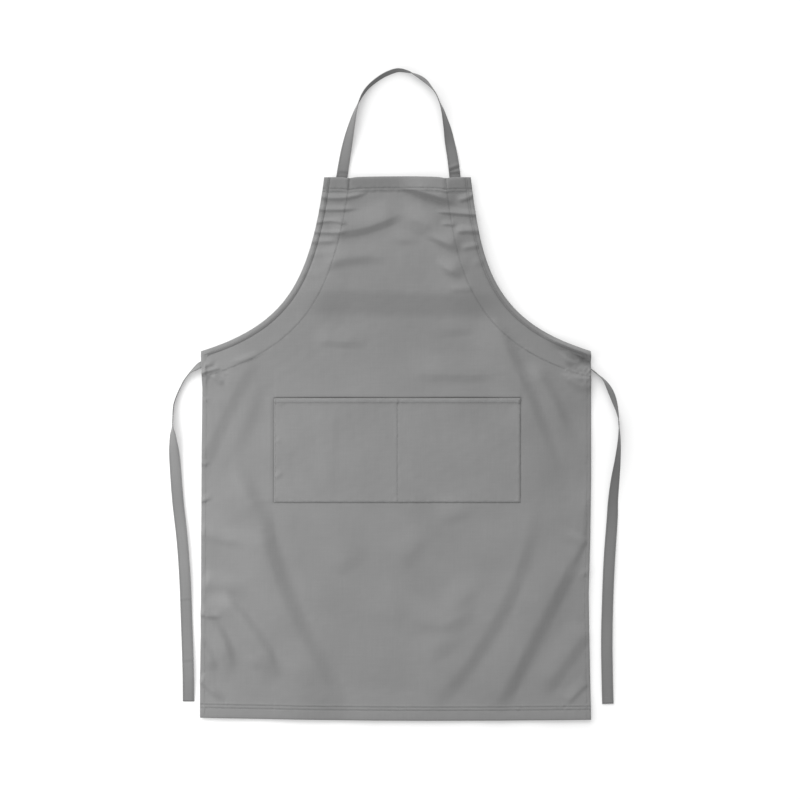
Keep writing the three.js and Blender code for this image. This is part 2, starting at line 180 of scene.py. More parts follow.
def cotton(name, hex_colour, painted_seam_shade):
    """A cotton material; `painted_seam_shade` is what is left of its brightness where seam shade is
    painted.
    """
    material = bpy.data.materials.new(name)
    material.use_nodes = True
    tree = material.node_tree
    shader = tree.nodes["Principled BSDF"]
    flat = add(tree, "UVMap", uv_map="cloth").outputs["UV"]

    factors = []
    for wide, long in ((STREAK_WIDTH, STREAK_LENGTH), (STREAK_LENGTH, STREAK_WIDTH)):
        stretched = add(tree, "Mapping", {"Vector": flat, "Scale": (1 / wide, 1 / long, 1)})
        streak = add(tree, "TexNoise", {
            "Vector": stretched.outputs["Vector"], "Scale": 1.0, "Detail": 1.0})
        factors.append(add(tree, "MapRange", {
            "Value": streak.outputs["Fac"], "From Min": 0.25, "From Max": 0.75,
            "To Min": 1 - STREAK_TONE, "To Max": 1 + STREAK_TONE}))
    patch = add(tree, "TexNoise", {"Vector": flat, "Scale": 1 / PATCH_SIZE, "Detail": 2.0})
    factors.append(add(tree, "MapRange", {
        "Value": patch.outputs["Fac"], "From Min": 0.3, "From Max": 0.7,
        "To Min": 1 - PATCH_TONE, "To Max": 1 + PATCH_TONE}))
    # Painted shade: the `seam` attribute darkens the colour in seam grooves, creases and steps between
    # layers.
    seam = add(tree, "Attribute", attribute_name="seam")
    factors.append(add(tree, "MapRange", {
        "Value": seam.outputs["Fac"], "To Min": 1.0, "To Max": painted_seam_shade}))
    tone = 1.0
    for factor in factors:
        product = add(tree, "Math", {0: tone, 1: factor.outputs["Result"]}, operation="MULTIPLY")
        tone = product.outputs["Value"]
    colour = add(tree, "HueSaturation", {"Color": linear(hex_colour), "Value": tone})

    bands = {"Vector": flat, "Scale": 1 / WEAVE_PERIOD / BANDS_PER_SCALE}
    across = add(tree, "TexWave", bands, bands_direction="X")
    along = add(tree, "TexWave", bands, bands_direction="Y")
    over_under = add(tree, "Math", {0: across.outputs["Fac"], 1: along.outputs["Fac"]},
                     operation="MULTIPLY")
    relief = add(tree, "Bump", {
        "Height": over_under.outputs["Value"], "Strength": WEAVE_STRENGTH, "Distance": WEAVE_DEEP})
    worn = add(tree, "MapRange", {
        "Value": over_under.outputs["Value"],
        "To Min": THREAD_GAP_ROUGHNESS, "To Max": THREAD_TOP_ROUGHNESS})

    tree.links.new(colour.outputs["Color"], shader.inputs["Base Color"])
    tree.links.new(worn.outputs["Result"], shader.inputs["Roughness"])
    tree.links.new(relief.outputs["Normal"], shader.inputs["Normal"])
    shader.inputs["Specular IOR Level"].default_value = 0.2
    shader.inputs["Sheen Weight"].default_value = 0.12
    shader.inputs["Sheen Roughness"].default_value = 0.5
    return material


panel_cotton = cotton("grey_cotton", "#606060", painted_seam_shade=0.7)
pocket_cotton = cotton("grey_cotton_pocket", "#616161", painted_seam_shade=0.7)
casing_cotton = cotton("grey_cotton_casing", "#606060", painted_seam_shade=0.8)
tape_cotton = cotton("grey_cotton_tape", "#5c5c5c", painted_seam_shade=0.86)
print("nodes in a cotton:", len(panel_cotton.node_tree.nodes))

# %% [markdown]
# Polyester sewing thread is twisted from a few plies and is a touch darker than the cloth. The plies
# show as small pale and dark patches, and the pale ones have more gloss. Noise on the stitches' own
# coordinates gives both. The real twist repeats every 0.4 mm, too fine to show, so it is drawn
# coarser, at 1.2 mm.

# %% Sewing thread
PLY_LENGTH = 1.2 * MM
thread = bpy.data.materials.new("grey_polyester_thread")
thread.use_nodes = True
tree = thread.node_tree
shader = tree.nodes["Principled BSDF"]
on_stitch = add(tree, "TexCoord").outputs["Object"]
plies = add(tree, "TexNoise", {"Vector": on_stitch, "Scale": 1 / PLY_LENGTH, "Detail": 1.0})
ply_span = {"Value": plies.outputs["Fac"], "From Min": 0.3, "From Max": 0.7}
tone = add(tree, "MapRange", {**ply_span, "To Min": 0.88, "To Max": 1.12})
gloss = add(tree, "MapRange", {**ply_span, "To Min": 0.62, "To Max": 0.48})
colour = add(tree, "HueSaturation", {"Color": linear("#5c5c5c"), "Value": tone.outputs["Result"]})
tree.links.new(colour.outputs["Color"], shader.inputs["Base Color"])
tree.links.new(gloss.outputs["Result"], shader.inputs["Roughness"])
print("nodes in the thread:", len(tree.nodes))

# %% [markdown]
# ## Table
# A wide plain surface under the apron. It only catches the shadows, so one square face does it. It is
# frosted white acrylic with a weak light under it, so it has no gloss and its shadows stay pale.

# %% Table
TABLE_HALF = 20.0
TABLE_DROP = 0.1 * MM
TABLE_GLOW = 0.26
FROSTED = [
    ("Base Color", linear("#adadad")), ("Roughness", 1.0), ("Specular IOR Level", 0.0),
    ("Emission Color", (1, 1, 1, 1)), ("Emission Strength", TABLE_GLOW),
]
table_top = bpy.data.materials.new("white_acrylic")
table_top.use_nodes = True
for socket, value in FROSTED:
    table_top.node_tree.nodes["Principled BSDF"].inputs[socket].default_value = value

bm = bmesh.new()
bmesh.ops.create_grid(bm, x_segments=1, y_segments=1, size=TABLE_HALF)
table_mesh = bpy.data.meshes.new("table")
bm.to_mesh(table_mesh)
bm.free()
table_mesh.materials.append(table_top)
table = bpy.data.objects.new("table", table_mesh)
table.location.z = -TABLE_DROP
scene_objects.link(table)
print("materials:", [m.name for m in bpy.data.materials])

# %% [markdown]
# ## Lines
# Cloth is cut, sewn and folded along lines. Three small functions do all the work with them: one
# makes a soft step, one spreads points evenly along a line, and one tells for many points at once
# how far they lie from a line and on which side.

# %% Line helpers
def smooth(low, high, value):
    """A soft step from 0 at `low` to 1 at `high`."""
    share = np.clip((value - low) / (high - low), 0, 1)
    return share * share * (3 - 2 * share)


def even_points(line, count):
    """As many points as `count` says, evenly spread along a line."""
    steps = np.linalg.norm(np.diff(line, axis=0), axis=1)
    way = np.concatenate(([0.0], np.cumsum(steps)))
    places = np.linspace(0, way[-1], count)
    return np.stack([np.interp(places, way, column) for column in line.T], axis=1)


def beside(line, x, y):
    """Distance from a line, positive on the left hand of its walk."""
    nearest = np.full(x.shape, np.inf)
    offset = np.zeros(x.shape)
    for start, run in zip(line, np.diff(line, axis=0)):
        reach = ((x - start[0]) * run[0] + (y - start[1]) * run[1]) / (run @ run)
        step = np.clip(reach, 0, 1)
        dx = x - start[0] - run[0] * step
        dy = y - start[1] - run[1] * step
        distance = np.hypot(dx, dy)
        closer = distance < nearest
        nearest = np.where(closer, distance, nearest)
        offset = np.where(closer, np.sign(run[0] * dy - run[1] * dx) * distance, offset)
    return offset


print("a soft step after a quarter of its way:", round(smooth(0, 1, 0.25), 3))

# %% [markdown]
# ## Cut of the panel
# The panel is 650 mm wide and 900 mm long. Each armhole is one smooth curve that leaves the top of
# the bib nearly upright and reaches the waist nearly level, so a cubic curve with two handles
# draws it.

# %% Cut of the panel
panel_low, panel_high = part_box("front_panel")
BIB_TOP = panel_high[1]
WAIST = BIB_TOP - 288 * MM
SIDE = 323.5 * MM
BIB_HALF = 121.5 * MM
HANDLE = 160 * MM
TOP_LEAN = math.radians(7)
END_RISE = math.radians(17)
CURVE_POINTS = 500
ARMHOLE_POINTS = 161

handles = np.array([
    (BIB_HALF, BIB_TOP),
    (BIB_HALF + HANDLE * math.sin(TOP_LEAN), BIB_TOP - HANDLE * math.cos(TOP_LEAN)),
    (SIDE - HANDLE * math.cos(END_RISE), WAIST + HANDLE * math.sin(END_RISE)),
    (SIDE, WAIST),
])
t = np.linspace(0, 1, CURVE_POINTS)[:, None]
weights = np.hstack([(1 - t) ** 3, 3 * t * (1 - t) ** 2, 3 * t ** 2 * (1 - t), t ** 3])
ARMHOLE = even_points(weights @ handles, ARMHOLE_POINTS)
ARMHOLE_LENGTH = np.linalg.norm(np.diff(ARMHOLE, axis=0), axis=1).sum()
print("armhole length in millimetres:", round(ARMHOLE_LENGTH / MM, 1))

# %% [markdown]
# The other edges are nearly straight. The sides wave a little, as in any washed cloth, the foot sags,
# the bib leans to the right, and its top edge bows up inside the neck loop. Each edge is a small
# function, so that hems and stitches can ask for it too.

# %% Edges of the panel
FOOT_BOW = 3.1 * MM
FOOT_LEAN = 1.7 * MM
FOOT_RISE = 6.0 * MM
FOOT = panel_low[1] + FOOT_RISE
BIB_LEAN = 2.4 * MM
LEAN_START = WAIST + 110 * MM
TOP_BOW = 1.6 * MM
LOOP_HALF = 80 * MM
NOTCH_DEEP = 1.6 * MM
NOTCH_WIDE = 8 * MM
# Height, and how far the left and the right edge stand out from SIDE there: millimetres.
SIDE_EDGE = np.array([
    (-541, 1.7, 0.0), (-475, 1.7, -1.4), (-408, 0.4, -2.8), (-330, 0.0, -4.0), (-240, -0.4, -1.4),
    (-140, -0.8, 0.0), (10, -2.4, 0.0), (71, 0.4, -0.6),
]) * MM


def lean_at(y):
    """How far the bib leans to the right at a height."""
    return BIB_LEAN * smooth(LEAN_START, BIB_TOP, y)


def side_at(x, y):
    """How far the side edge stands from the middle, on the side that x is on."""
    left, right = (np.interp(y, SIDE_EDGE[:, 0], SIDE_EDGE[:, i]) for i in (1, 2))
    return SIDE + np.where(x < 0, left, right)


def foot_at(x):
    """Height of the foot's edge, which sags in the middle and slopes down to the right."""
    across = np.clip(x / SIDE, -1, 1)
    return FOOT - FOOT_BOW * np.cos(across * math.pi / 2) - FOOT_LEAN * across


def top_at(x):
    """The top edge bows up between the casing seams, and those draw it in by a small notch."""
    from_middle = np.abs(x - BIB_LEAN)
    bow = TOP_BOW * np.cos(np.minimum(from_middle / LOOP_HALF, 1) * math.pi / 2)
    return BIB_TOP + bow - NOTCH_DEEP * np.exp(-((from_middle - LOOP_HALF) / NOTCH_WIDE) ** 2)


print("length down the middle in millimetres:", round((top_at(0.0) - foot_at(0.0)) / MM))

# %% [markdown]
# ## Folds
# The apron was unpacked and smoothed out by hand, so it keeps long slanting folds in the skirt,
# cross folds in the bib, and short gathers where the tape draws the casings up. Each fold is a low
# ridge through three points. One flank is steep and shows as a dark band, the other is long and
# gentle and shows as a pale one. A table of ridges is easier to match to the real folds than a
# cloth simulation would be.

# %% Table of folds
# x and y of start, middle and end; height; width of the steep and the gentle flank; length over
# which it fades in at the start and out at the end: millimetres. The points lie in the middle of
# the steep flank, which falls to the left hand of that walk. A negative height is a hollow.
FOLDS = np.array([
    # long drape folds of the skirt
    (-262, -108, -240, -158, -200, -226, 8.0, 26, 80, 60, 60),
    (-218, -184, -174, -343, -60, -552, 9.5, 30, 90, 60, 130),
    (-174, -167, -126, -313, -76, -440, 2.0, 50, 24, 50, 90),
    (317, -240, 308, -258, 290, -294, 3.2, 9, 60, 6, 30),
    (310, -256, 250, -374, 168, -534, 6.6, 25, 100, 60, 50),
    (246, -130, 188, -342, 54, -534, 5.4, 26, 100, 180, 100),
    (326, -392, 282, -453, 240, -512, 3.8, 22, 40, 20, 50),
    (320, -480, 300, -500, 284, -516, 2.0, 6, 20, 8, 10),
    (138, -346, 90, -388, 16, -382, 3.4, 24, 50, 50, 40),
    (122, -385, 91, -418, 40, -456, 2.2, 24, 40, 50, 50),
    (150, -300, 128, -334, 84, -372, 1.7, 22, 40, 40, 40),
    (60, -232, 36, -262, 4, -300, 2.0, 24, 44, 40, 40),
    (138, -198, 102, -206, 62, -217, 2.0, 18, 40, 36, 36),
    (-40, -250, -78, -286, -118, -300, 1.8, 24, 44, 40, 40),
    (322, -150, 316, -200, 313, -256, 2.0, 11, 40, 50, 24),
    (-246, -341, -285, -329, -326, -317, 3.8, 20, 26, 44, 14),
    (-296, -320, -242, -377, -184, -470, 8.8, 16, 40, 40, 56),
    (-286, -372, -308, -371, -328, -366, 2.2, 5, 12, 20, 4),
    (-330, -344, -285, -398, -264, -472, 6.4, 15, 36, 24, 60),
    (-326, -398, -310, -425, -292, -458, 4.2, 9, 18, 10, 24),
    (-286, -512, -305, -497, -328, -474, 3.8, 8, 16, 26, 5),
    (-230, -258, -280, -248, -328, -236, 2.5, 12, 26, 50, 8),
    (-244, -430, -234, -440, -224, -452, 1.5, 6, 12, 8, 8),
    # slanting folds that hang from the waist corners
    (158, 146, 206, 40, 284, -150, 9.2, 16, 60, 80, 150),
    (226, 62, 260, 2, 306, -92, 7.5, 16, 34, 40, 90),
    (326, 8, 298, 12, 272, 34, 3.2, 9, 18, 8, 20),
    (326, 21, 306, 22, 288, 26, 2.0, 6, 12, 8, 14),
    (330, 55, 296, 69, 236, 95, 11.5, 9, 10, 3, 70),
    (336, 36, 320, 47, 300, 59, -6.5, 12, 10, 3, 12),
    (283, 75, 289, 62, 295, 47, 6.5, 7, 12, 6, 10),
    (309, 60, 303, 52, 300, 44, 3.2, 5, 8, 5, 6),
    (-226, 66, -272, -22, -324, -136, 3.8, 24, 55, 60, 40),
    (-216, 36, -242, -50, -272, -112, 2.4, 22, 40, 50, 50),
    (-288, 14, -296, 20, -308, 30, 3.2, 4, 8, 6, 6),
    (-288, 41, -298, 39, -312, 36, 2.2, 4, 8, 8, 6),
    (-302, 48, -309, 47, -318, 46, 2.8, 4, 7, 5, 4),
    (-308, 37, -316, 34, -326, 30, 2.8, 4, 7, 6, 3),
    (-228, 62, -246, 56, -270, 50, 2.0, 5, 9, 12, 12),
    # short ticks along the sides
    (-306, -116, -316, -118, -328, -118, 1.8, 4, 8, 10, 3),
    (-304, -172, -314, -177, -328, -182, 2.0, 4, 8, 10, 3),
    (-306, -14, -316, -14, -328, -12, 1.5, 4, 8, 10, 3),
    (328, -292, 314, -300, 302, -306, 1.8, 4, 8, 3, 10),
    # cross folds of the bib and below it
    (220, 144, 2, 149, -200, 154, 11.5, 50, 190, 120, 110),
    (176, 27, 98, 25, 18, 29, 2.6, 17, 38, 44, 50),
    (-40, 81, -81, 81, -140, 84, 2.5, 14, 32, 40, 30),
    (142, 103, 98, 101, 56, 100, 2.0, 16, 32, 40, 40),
    (20, 300, -42, 272, -108, 262, 6.5, 15, 40, 44, 24),
    (80, 252, 32, 277, -14, 295, 8.5, 28, 44, 40, 60),
    (6, 216, -60, 220, -122, 206, 4.8, 16, 34, 70, 24),
    (105, 308, 60, 326, -4, 341, 12.0, 7.5, 42, 38, 54),
    (106, 229, 80, 246, 44, 262, 8.5, 10, 36, 26, 40),
    (114, 193, 90, 199, 62, 220, 7.0, 9, 34, 26, 36),
    (132, 170, 106, 170, 80, 170, 2.0, 5, 14, 12, 24),
    (46, 248, 13, 251, -18, 251, 2.2, 12, 26, 30, 30),
    # hollows where the casing seams cross the top hem
    (-74.6, 357, -74.6, 347, -74.6, 335, -1.4, 5, 5, 3, 4),
    (84.4, 357, 84.4, 347, 84.4, 335, -1.4, 5, 5, 3, 4),
    # gathers of the left casing
    (-42, 335, -84, 323, -134, 325, 4.2, 4.5, 10, 30, 5),
    (-58, 306, -96, 303, -136, 304, 3.9, 4.5, 11, 30, 5),
    (-80, 277, -105, 284, -138, 280, 3.2, 4.5, 8, 10, 5),
    (-82, 264, -109, 265, -144, 266, 3.0, 4, 8, 10, 5),
    (-94, 250, -116, 250, -148, 249, 2.8, 5, 10, 14, 8),
    (-98, 231, -122, 229, -150, 226, 1.2, 7, 12, 18, 10),
    (-116, 196, -134, 194, -164, 196, 1.0, 7, 14, 16, 12),
    # gathers of the right casing
    (136, 331, 118, 322, 102, 318, 4.2, 6, 10, 5, 8),
    (142, 294, 101, 297, 62, 301, 4.2, 4.5, 11, 5, 22),
    (100, 277, 86, 279, 72, 280, 3.2, 5, 9, 8, 12),
    (152, 266, 122, 267, 98, 266, 4.5, 7, 12, 5, 10),
    (140, 244, 121, 240, 106, 237, 2.8, 6, 10, 8, 12),
    (152, 218, 138, 214, 126, 212, 1.2, 8, 12, 8, 8),
]) * MM
print("folds in the table:", len(FOLDS))

# %% [markdown]
# A pressed fold is like a bent card: its steep flank is straight between two rounded ends and shows
# as one even band. Each fold runs along a curve through its three points, drawn as short legs, and
# fades out at both ends. Where folds meet, their heights add up.

# %% Shape of a fold
FOLD_LEGS = 12
CREST_ROUND = 0.25


def even_slope(share):
    """A step like `smooth`, but straight between its rounded ends."""
    share = np.clip(share, 0, 1)
    rounding = 2 * CREST_ROUND * (1 - CREST_ROUND)
    middle = (share - CREST_ROUND / 2) / (1 - CREST_ROUND)
    late = np.where(share > 1 - CREST_ROUND, 1 - (1 - share) ** 2 / rounding, middle)
    return np.where(share < CREST_ROUND, share ** 2 / rounding, late)


def folds(table, x, y):
    """Height of all folds of a table at many points."""
    share = np.linspace(0, 1, FOLD_LEGS + 1)[:, None]
    total = np.zeros(x.shape)
    for row in table:
        start, middle, end = row[0:2], row[2:4], row[4:6]
        high, steep, gentle, fade_in, fade_out = row[6:]
        bend = 2 * middle - (start + end) / 2
        line = (1 - share) ** 2 * start + 2 * share * (1 - share) * bend + share ** 2 * end
        from_crest = beside(line, x, y) + steep / 2
        slope = np.where(from_crest > 0, even_slope(from_crest / steep), smooth(0, gentle, -from_crest))
        length = np.linalg.norm(end - start)
        along = ((x - start[0]) * (end - start)[0] + (y - start[1]) * (end - start)[1]) / length
        ends = smooth(0, fade_in, along) * smooth(0, fade_out, length - along)
        total += high * ends * (1 - slope)
    return total


fold_middles = folds(FOLDS, FOLDS[:, 2], FOLDS[:, 3])
print("highest middle of a fold in millimetres:", round(fold_middles.max() / MM, 1))

# %% [markdown]
# Between the folds the cloth is never quite flat. A few waves of random length and direction,
# added up, give soft hollows, and the same with short waves gives the puckers along a seam. The
# random numbers start from a fixed seed, so every run makes the same cloth.

# %% Ripples
RIPPLE_SEED = 11
random = np.random.default_rng(RIPPLE_SEED)


def wave_set(count, shortest, longest):
    """Waves of random heading, length and phase."""
    heading = random.uniform(0, math.pi, count)
    number = 2 * math.pi / random.uniform(shortest, longest, count)
    return np.stack([number * np.cos(heading), number * np.sin(heading),
                     random.uniform(0, 2 * math.pi, count)])


def ripple(waves, x, y):
    """The waves of a set added up at many points, mostly between -1 and 1."""
    phases = x[:, None] * waves[0] + y[:, None] * waves[1] + waves[2]
    return np.sin(phases).sum(axis=1) / math.sqrt(waves.shape[1])


HOLLOWS = wave_set(count=14, shortest=60 * MM, longest=150 * MM)
CREASES = wave_set(count=18, shortest=16 * MM, longest=40 * MM)
PUCKERS = wave_set(count=16, shortest=7 * MM, longest=14 * MM)
print("waves in all:", sum(waves.shape[1] for waves in (HOLLOWS, CREASES, PUCKERS)))

# %% [markdown]
# ## Hems and seams
# Hems are turned in and sewn: 9 mm at the sides and armholes, 25 mm at the top and the foot. A seam
# presses a groove into the cloth and puckers it, and the groove is painted darker as shade. Each place
# on the cloth is known by its distance from the edges, so a seam is simply a distance.

# %% Hems and seams
CLOTH = 1.0 * MM
HEM_LAYER = 0.9 * MM
NARROW_HEM = 9 * MM
DEEP_HEM = 25 * MM
NARROW_SEAM = 7 * MM
TOP_SEAMS = (18.5 * MM, 23.4 * MM)
FOOT_SEAMS = (17.0 * MM, 22.4 * MM)
CASING_SEAM = 42 * MM
GROOVE_WIDE = 0.9 * MM
PUCKER_HIGH = 0.2 * MM
PUCKER_WIDE = 6 * MM
STEP_GAP = 0.6 * MM
POCKET_SHADE_WIDE = 0.8 * MM
# How deep each seam and each step between two layers is, and how dark its painted shade is, from 0 to
# 1.
SEAM_DEPTH_AND_SHADE = {
    "armhole": 1.0, "side": 0.05, "deep hem": 0.9, "casing": 0.6, "casing in the top hem": 1.0,
    "armhole hem": 0.75, "pocket": 0.5, "pocket mouth": 1.0,
}
pocket_low, pocket_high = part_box("pocket")


def panel_distances(x, y):
    """How far points lie inside the armholes, the sides, the top and the foot."""
    armhole = np.abs(beside(ARMHOLE, np.abs(x - lean_at(y)), y))
    side = np.maximum(side_at(x, y) - np.abs(x), 0)
    return armhole, side, top_at(x) - y, y - foot_at(x)


def pocket_distance(x, y):
    """How far points lie outside the pocket."""
    out_x = np.maximum(pocket_low[0] - x, x - pocket_high[0])
    out_y = np.maximum(pocket_low[1] - y, y - pocket_high[1])
    return np.hypot(np.maximum(out_x, 0), np.maximum(out_y, 0))


def panel_seams(x, y, armhole, side, top, foot):
    """Seam mark from 0 to 1 for grooves and painted shade, the step at the armhole's hem, and the
    height of the puckers.
    """
    lines = [np.minimum(armhole, side) - NARROW_SEAM, armhole - CASING_SEAM]
    lines += [top - seam for seam in TOP_SEAMS] + [foot - seam for seam in FOOT_SEAMS]
    to_seam = np.min(np.abs(lines), axis=0)
    narrow_tone = np.where(armhole < side + MM, SEAM_DEPTH_AND_SHADE["armhole"], SEAM_DEPTH_AND_SHADE["side"])
    casing_tone = np.where(top < DEEP_HEM, SEAM_DEPTH_AND_SHADE["casing in the top hem"], SEAM_DEPTH_AND_SHADE["casing"])
    tone = np.where(np.abs(lines[1]) <= to_seam, casing_tone, SEAM_DEPTH_AND_SHADE["deep hem"])
    tone = np.where(np.abs(lines[0]) <= to_seam, narrow_tone, tone)
    # Painted shade: dark lines on the panel beside the armhole's hem step and round the pocket, darkest
    # above its mouth.
    hem_step = np.exp(-((armhole - NARROW_HEM - STEP_GAP) / GROOVE_WIDE) ** 2)
    pocket_step = np.exp(-((pocket_distance(x, y) - STEP_GAP) / POCKET_SHADE_WIDE) ** 2)
    pocket_tone = np.where(y > pocket_high[1], SEAM_DEPTH_AND_SHADE["pocket mouth"], SEAM_DEPTH_AND_SHADE["pocket"])
    seam = np.max([
        tone * np.exp(-(to_seam / GROOVE_WIDE) ** 2),
        SEAM_DEPTH_AND_SHADE["armhole hem"] * hem_step,
        pocket_tone * pocket_step,
    ], axis=0)
    pucker = PUCKER_HIGH * ripple(PUCKERS, x, y) * np.exp(-(to_seam / PUCKER_WIDE) ** 2)
    return seam, hem_step, pucker


print("seams across the panel:", len(TOP_SEAMS + FOOT_SEAMS))

# %% [markdown]
# ## Lift of the panel
# The panel rides on the casings with the tape inside them, gapes at the two mouths where the tape
# comes out, rolls up a little at the top and the foot, and bulges beside the pocket, which keeps it
# flat. The folds and hollows come on top. Simple bumps, added up, are enough for each of these.

# %% Lift of the panel
LIFT = 2.4 * MM
# Distance in from the armhole, and how high the panel's under side rides there: millimetres.
CASING_RIDE = np.array([
    (0, 1.3), (12, 2.9), (40, 2.9), (56, 2.0), (76, 0.7), (100, 0.0),
]) * MM
MOUTH_MIDDLE = WAIST - 33 * MM
MOUTH_GAPE = 5 * MM
MOUTH_DEPTH = 20 * MM
MOUTH_REACH = 18 * MM
CRUMPLE_HIGH = 0.7 * MM
CRUMPLE_WIDE = 44 * MM
CRUMPLE_TALL = 16 * MM
TOP_ROLL = 5.5 * MM
FOOT_ROLL = 2.0 * MM
FOOT_ROLL_REACH = 60 * MM
HOLLOW_HIGH = 0.6 * MM
CREASE_HIGH = 0.1 * MM
# How many times their own height hollows are raised, so that they hardly reach the table.
HOLLOW_LIFT = 1.5
POCKET_CALM = 50 * MM
LIP_HIGH = 1.5 * MM
LIP_REACH = 12 * MM
LIP_RISE = (0.3 * MM, 2.2 * MM)
LIP_END = 4 * MM


def pocket_lip(gap, inside):
    """Panel cloth bulges a little above the mouth and the left seam, then dives under the pocket."""
    bulge = smooth(*LIP_RISE, gap) * np.exp(-np.maximum(gap, 0) / LIP_REACH)
    return LIP_HIGH * bulge * smooth(-LIP_END, LIP_END, inside)


def panel_lift(x, y, armhole, top, foot):
    """Height of the panel's under side above the table."""
    ride = np.interp(armhole, CASING_RIDE[:, 0], CASING_RIDE[:, 1])
    mouth_x, mouth_y = SIDE - np.abs(x), y - MOUTH_MIDDLE
    gape = MOUTH_GAPE * np.exp(-(mouth_x / MOUTH_DEPTH) ** 2 - (mouth_y / MOUTH_REACH) ** 2)
    crumple = CRUMPLE_HIGH * ripple(PUCKERS, x, y) * np.exp(
        -(mouth_x / CRUMPLE_WIDE) ** 2 - (mouth_y / CRUMPLE_TALL) ** 2)
    rolled_top = TOP_ROLL * (1 - even_slope(top / DEEP_HEM))
    rolled_foot = FOOT_ROLL * (1 - even_slope(foot / FOOT_ROLL_REACH))
    edges = ride + gape + crumple + rolled_top + rolled_foot
    in_x = np.minimum(x - pocket_low[0], pocket_high[0] - x)
    in_y = np.minimum(y - pocket_low[1], pocket_high[1] - y)
    lip = pocket_lip(y - pocket_high[1], in_x) + pocket_lip(pocket_low[0] - x, in_y)
    free = 1 - smooth(0, POCKET_CALM, np.minimum(in_x, in_y))
    soft = HOLLOW_HIGH * (HOLLOW_LIFT + ripple(HOLLOWS, x, y)) + CREASE_HIGH * ripple(CREASES, x, y)
    return LIFT + edges + folds(FOLDS, x, y) * free + soft + lip


print("highest ride over a casing in millimetres:", round(CASING_RIDE[:, 1].max() / MM, 1))

# %% [markdown]
# ## Height of the panel
# A hem is a second layer: at the armholes it lies on top, at the sides and partly at the foot it is
# turned under. All of it is one function of the place on the cloth, so that the stitches and the
# pocket can use it too.

# %% Height of the panel
ARM_HEM_SLOPE = 0.7 * MM
SIDE_HEM_SLOPE = 5 * MM
DEEP_HEM_SLOPE = 1.0 * MM
ARMHOLE_STEP = 0.7 * MM
ARMHOLE_GROOVE = 0.35 * MM
GROOVE_DEEP = 0.4 * MM
HEM_SUNK = 0.7
EDGE_DROP = 0.6 * MM
EDGE_ROUND = 1.3 * MM
CLEAR = 0.05 * MM


def hem(width, slope, distance):
    """1 on a hem and 0 beside it, with a slope between them."""
    return 1 - smooth(width - slope, width + slope, distance)


def panel_shape(x, y):
    """Height of the upper side, thickness and seam mark of the panel at many points."""
    armhole, side, top, foot = panel_distances(x, y)
    arm_hem = hem(NARROW_HEM, ARM_HEM_SLOPE, armhole)
    side_hem = hem(NARROW_HEM, SIDE_HEM_SLOPE, side)
    top_hem, foot_hem = (hem(DEEP_HEM, DEEP_HEM_SLOPE, distance) for distance in (top, foot))
    wall = CLOTH + HEM_LAYER * np.max([arm_hem, side_hem, top_hem, foot_hem], axis=0)
    turned_under = HEM_LAYER * np.maximum(side_hem, HEM_SUNK * foot_hem)
    under = panel_lift(x, y, armhole, top, foot) + ARMHOLE_STEP * arm_hem - turned_under
    seam, hem_step, pucker = panel_seams(x, y, armhole, side, top, foot)
    edge = np.min([armhole, side, top, foot], axis=0)
    rounding = EDGE_DROP * np.exp(-(edge / EDGE_ROUND) ** 2)
    grooves = GROOVE_DEEP * seam + ARMHOLE_GROOVE * hem_step + rounding
    return np.maximum(under, CLEAR) + wall + pucker - grooves, wall, seam


bib_middle = panel_shape(np.array([0.0]), np.array([(WAIST + BIB_TOP) / 2]))[0][0]
print("height in the middle of the bib in millimetres:", round(bib_middle / MM, 1))

# %% [markdown]
# ## A sheet of cloth
# Every piece is made the same way: a grid of squares, each corner moved to its place, then given
# the cloth's thickness. The thickness is stored with each point, because a hem is double. Rows and
# columns of the grid lie closer where a seam or a sharp fold needs them.

# %% Cloth sheet maker
def cloth_sheet(name, columns, rows, place, material, thick, offset):
    """`place` gets the columns and rows of all points; it returns points, flat cloth, wall, seam."""
    bm = bmesh.new()
    bmesh.ops.create_grid(bm, x_segments=columns, y_segments=rows, size=0.5)
    mesh = bpy.data.meshes.new(name)
    # The grid reaches from -0.5 to 0.5, so a corner's place tells its column and its row.
    corners = np.array([vertex.co[:2] for vertex in bm.verts]) + 0.5
    column = np.rint(corners[:, 0] * columns).astype(int)
    row = np.rint(corners[:, 1] * rows).astype(int)
    points, flat, wall, seam = place(column, row)
    depth = bm.verts.layers.deform.verify()
    for vertex, point, share in zip(bm.verts, points, wall / thick):
        vertex.co = point
        vertex[depth][0] = share
    bm.to_mesh(mesh)
    bm.free()

    mesh.shade_smooth()
    loop_points = np.empty(len(mesh.loops), dtype=int)
    mesh.loops.foreach_get("vertex_index", loop_points)
    mesh.uv_layers.new(name="cloth").data.foreach_set("uv", flat[loop_points].ravel())
    # The seam mark goes to the material, where it is painted shade.
    mesh.attributes.new("seam", "FLOAT", "POINT").data.foreach_set("value", seam)
    mesh.materials.append(material)

    piece = bpy.data.objects.new(name, mesh)
    scene_objects.link(piece)
    piece.vertex_groups.new(name="wall")
    solidify = piece.modifiers.new("wall", "SOLIDIFY")
    solidify.thickness = thick
    solidify.offset = offset
    solidify.vertex_group = "wall"
    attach(piece, "root")
    print(name, "has", len(mesh.polygons), "squares")
    return piece


SPACING_SAMPLES = 4000


def spaced(length, coarse, places):
    """Steps from 0 to length, finer round each place (where, step, reach)."""
    s = np.linspace(0, length, SPACING_SAMPLES)
    density = np.full(s.shape, 1 / coarse)
    for where, step, reach in places:
        density += (1 / step - 1 / coarse) * np.exp(-((s - where) / reach) ** 2)
    count = np.concatenate(([0.0], np.cumsum((density[1:] + density[:-1]) / 2 * np.diff(s))))
    return np.interp(np.linspace(0, count[-1], math.ceil(count[-1]) + 1), count, s)


plain_steps = spaced(100 * MM, 4 * MM, [])
print("steps of 4 mm in 100 mm of plain cloth:", len(plain_steps) - 1)

# %% [markdown]
# ## Front panel
# Rows of the grid run across the apron. In the bib they are spread along the armhole, so the rows
# follow its curve, and columns keep their distance from the edge, so hems and seams stay crisp.

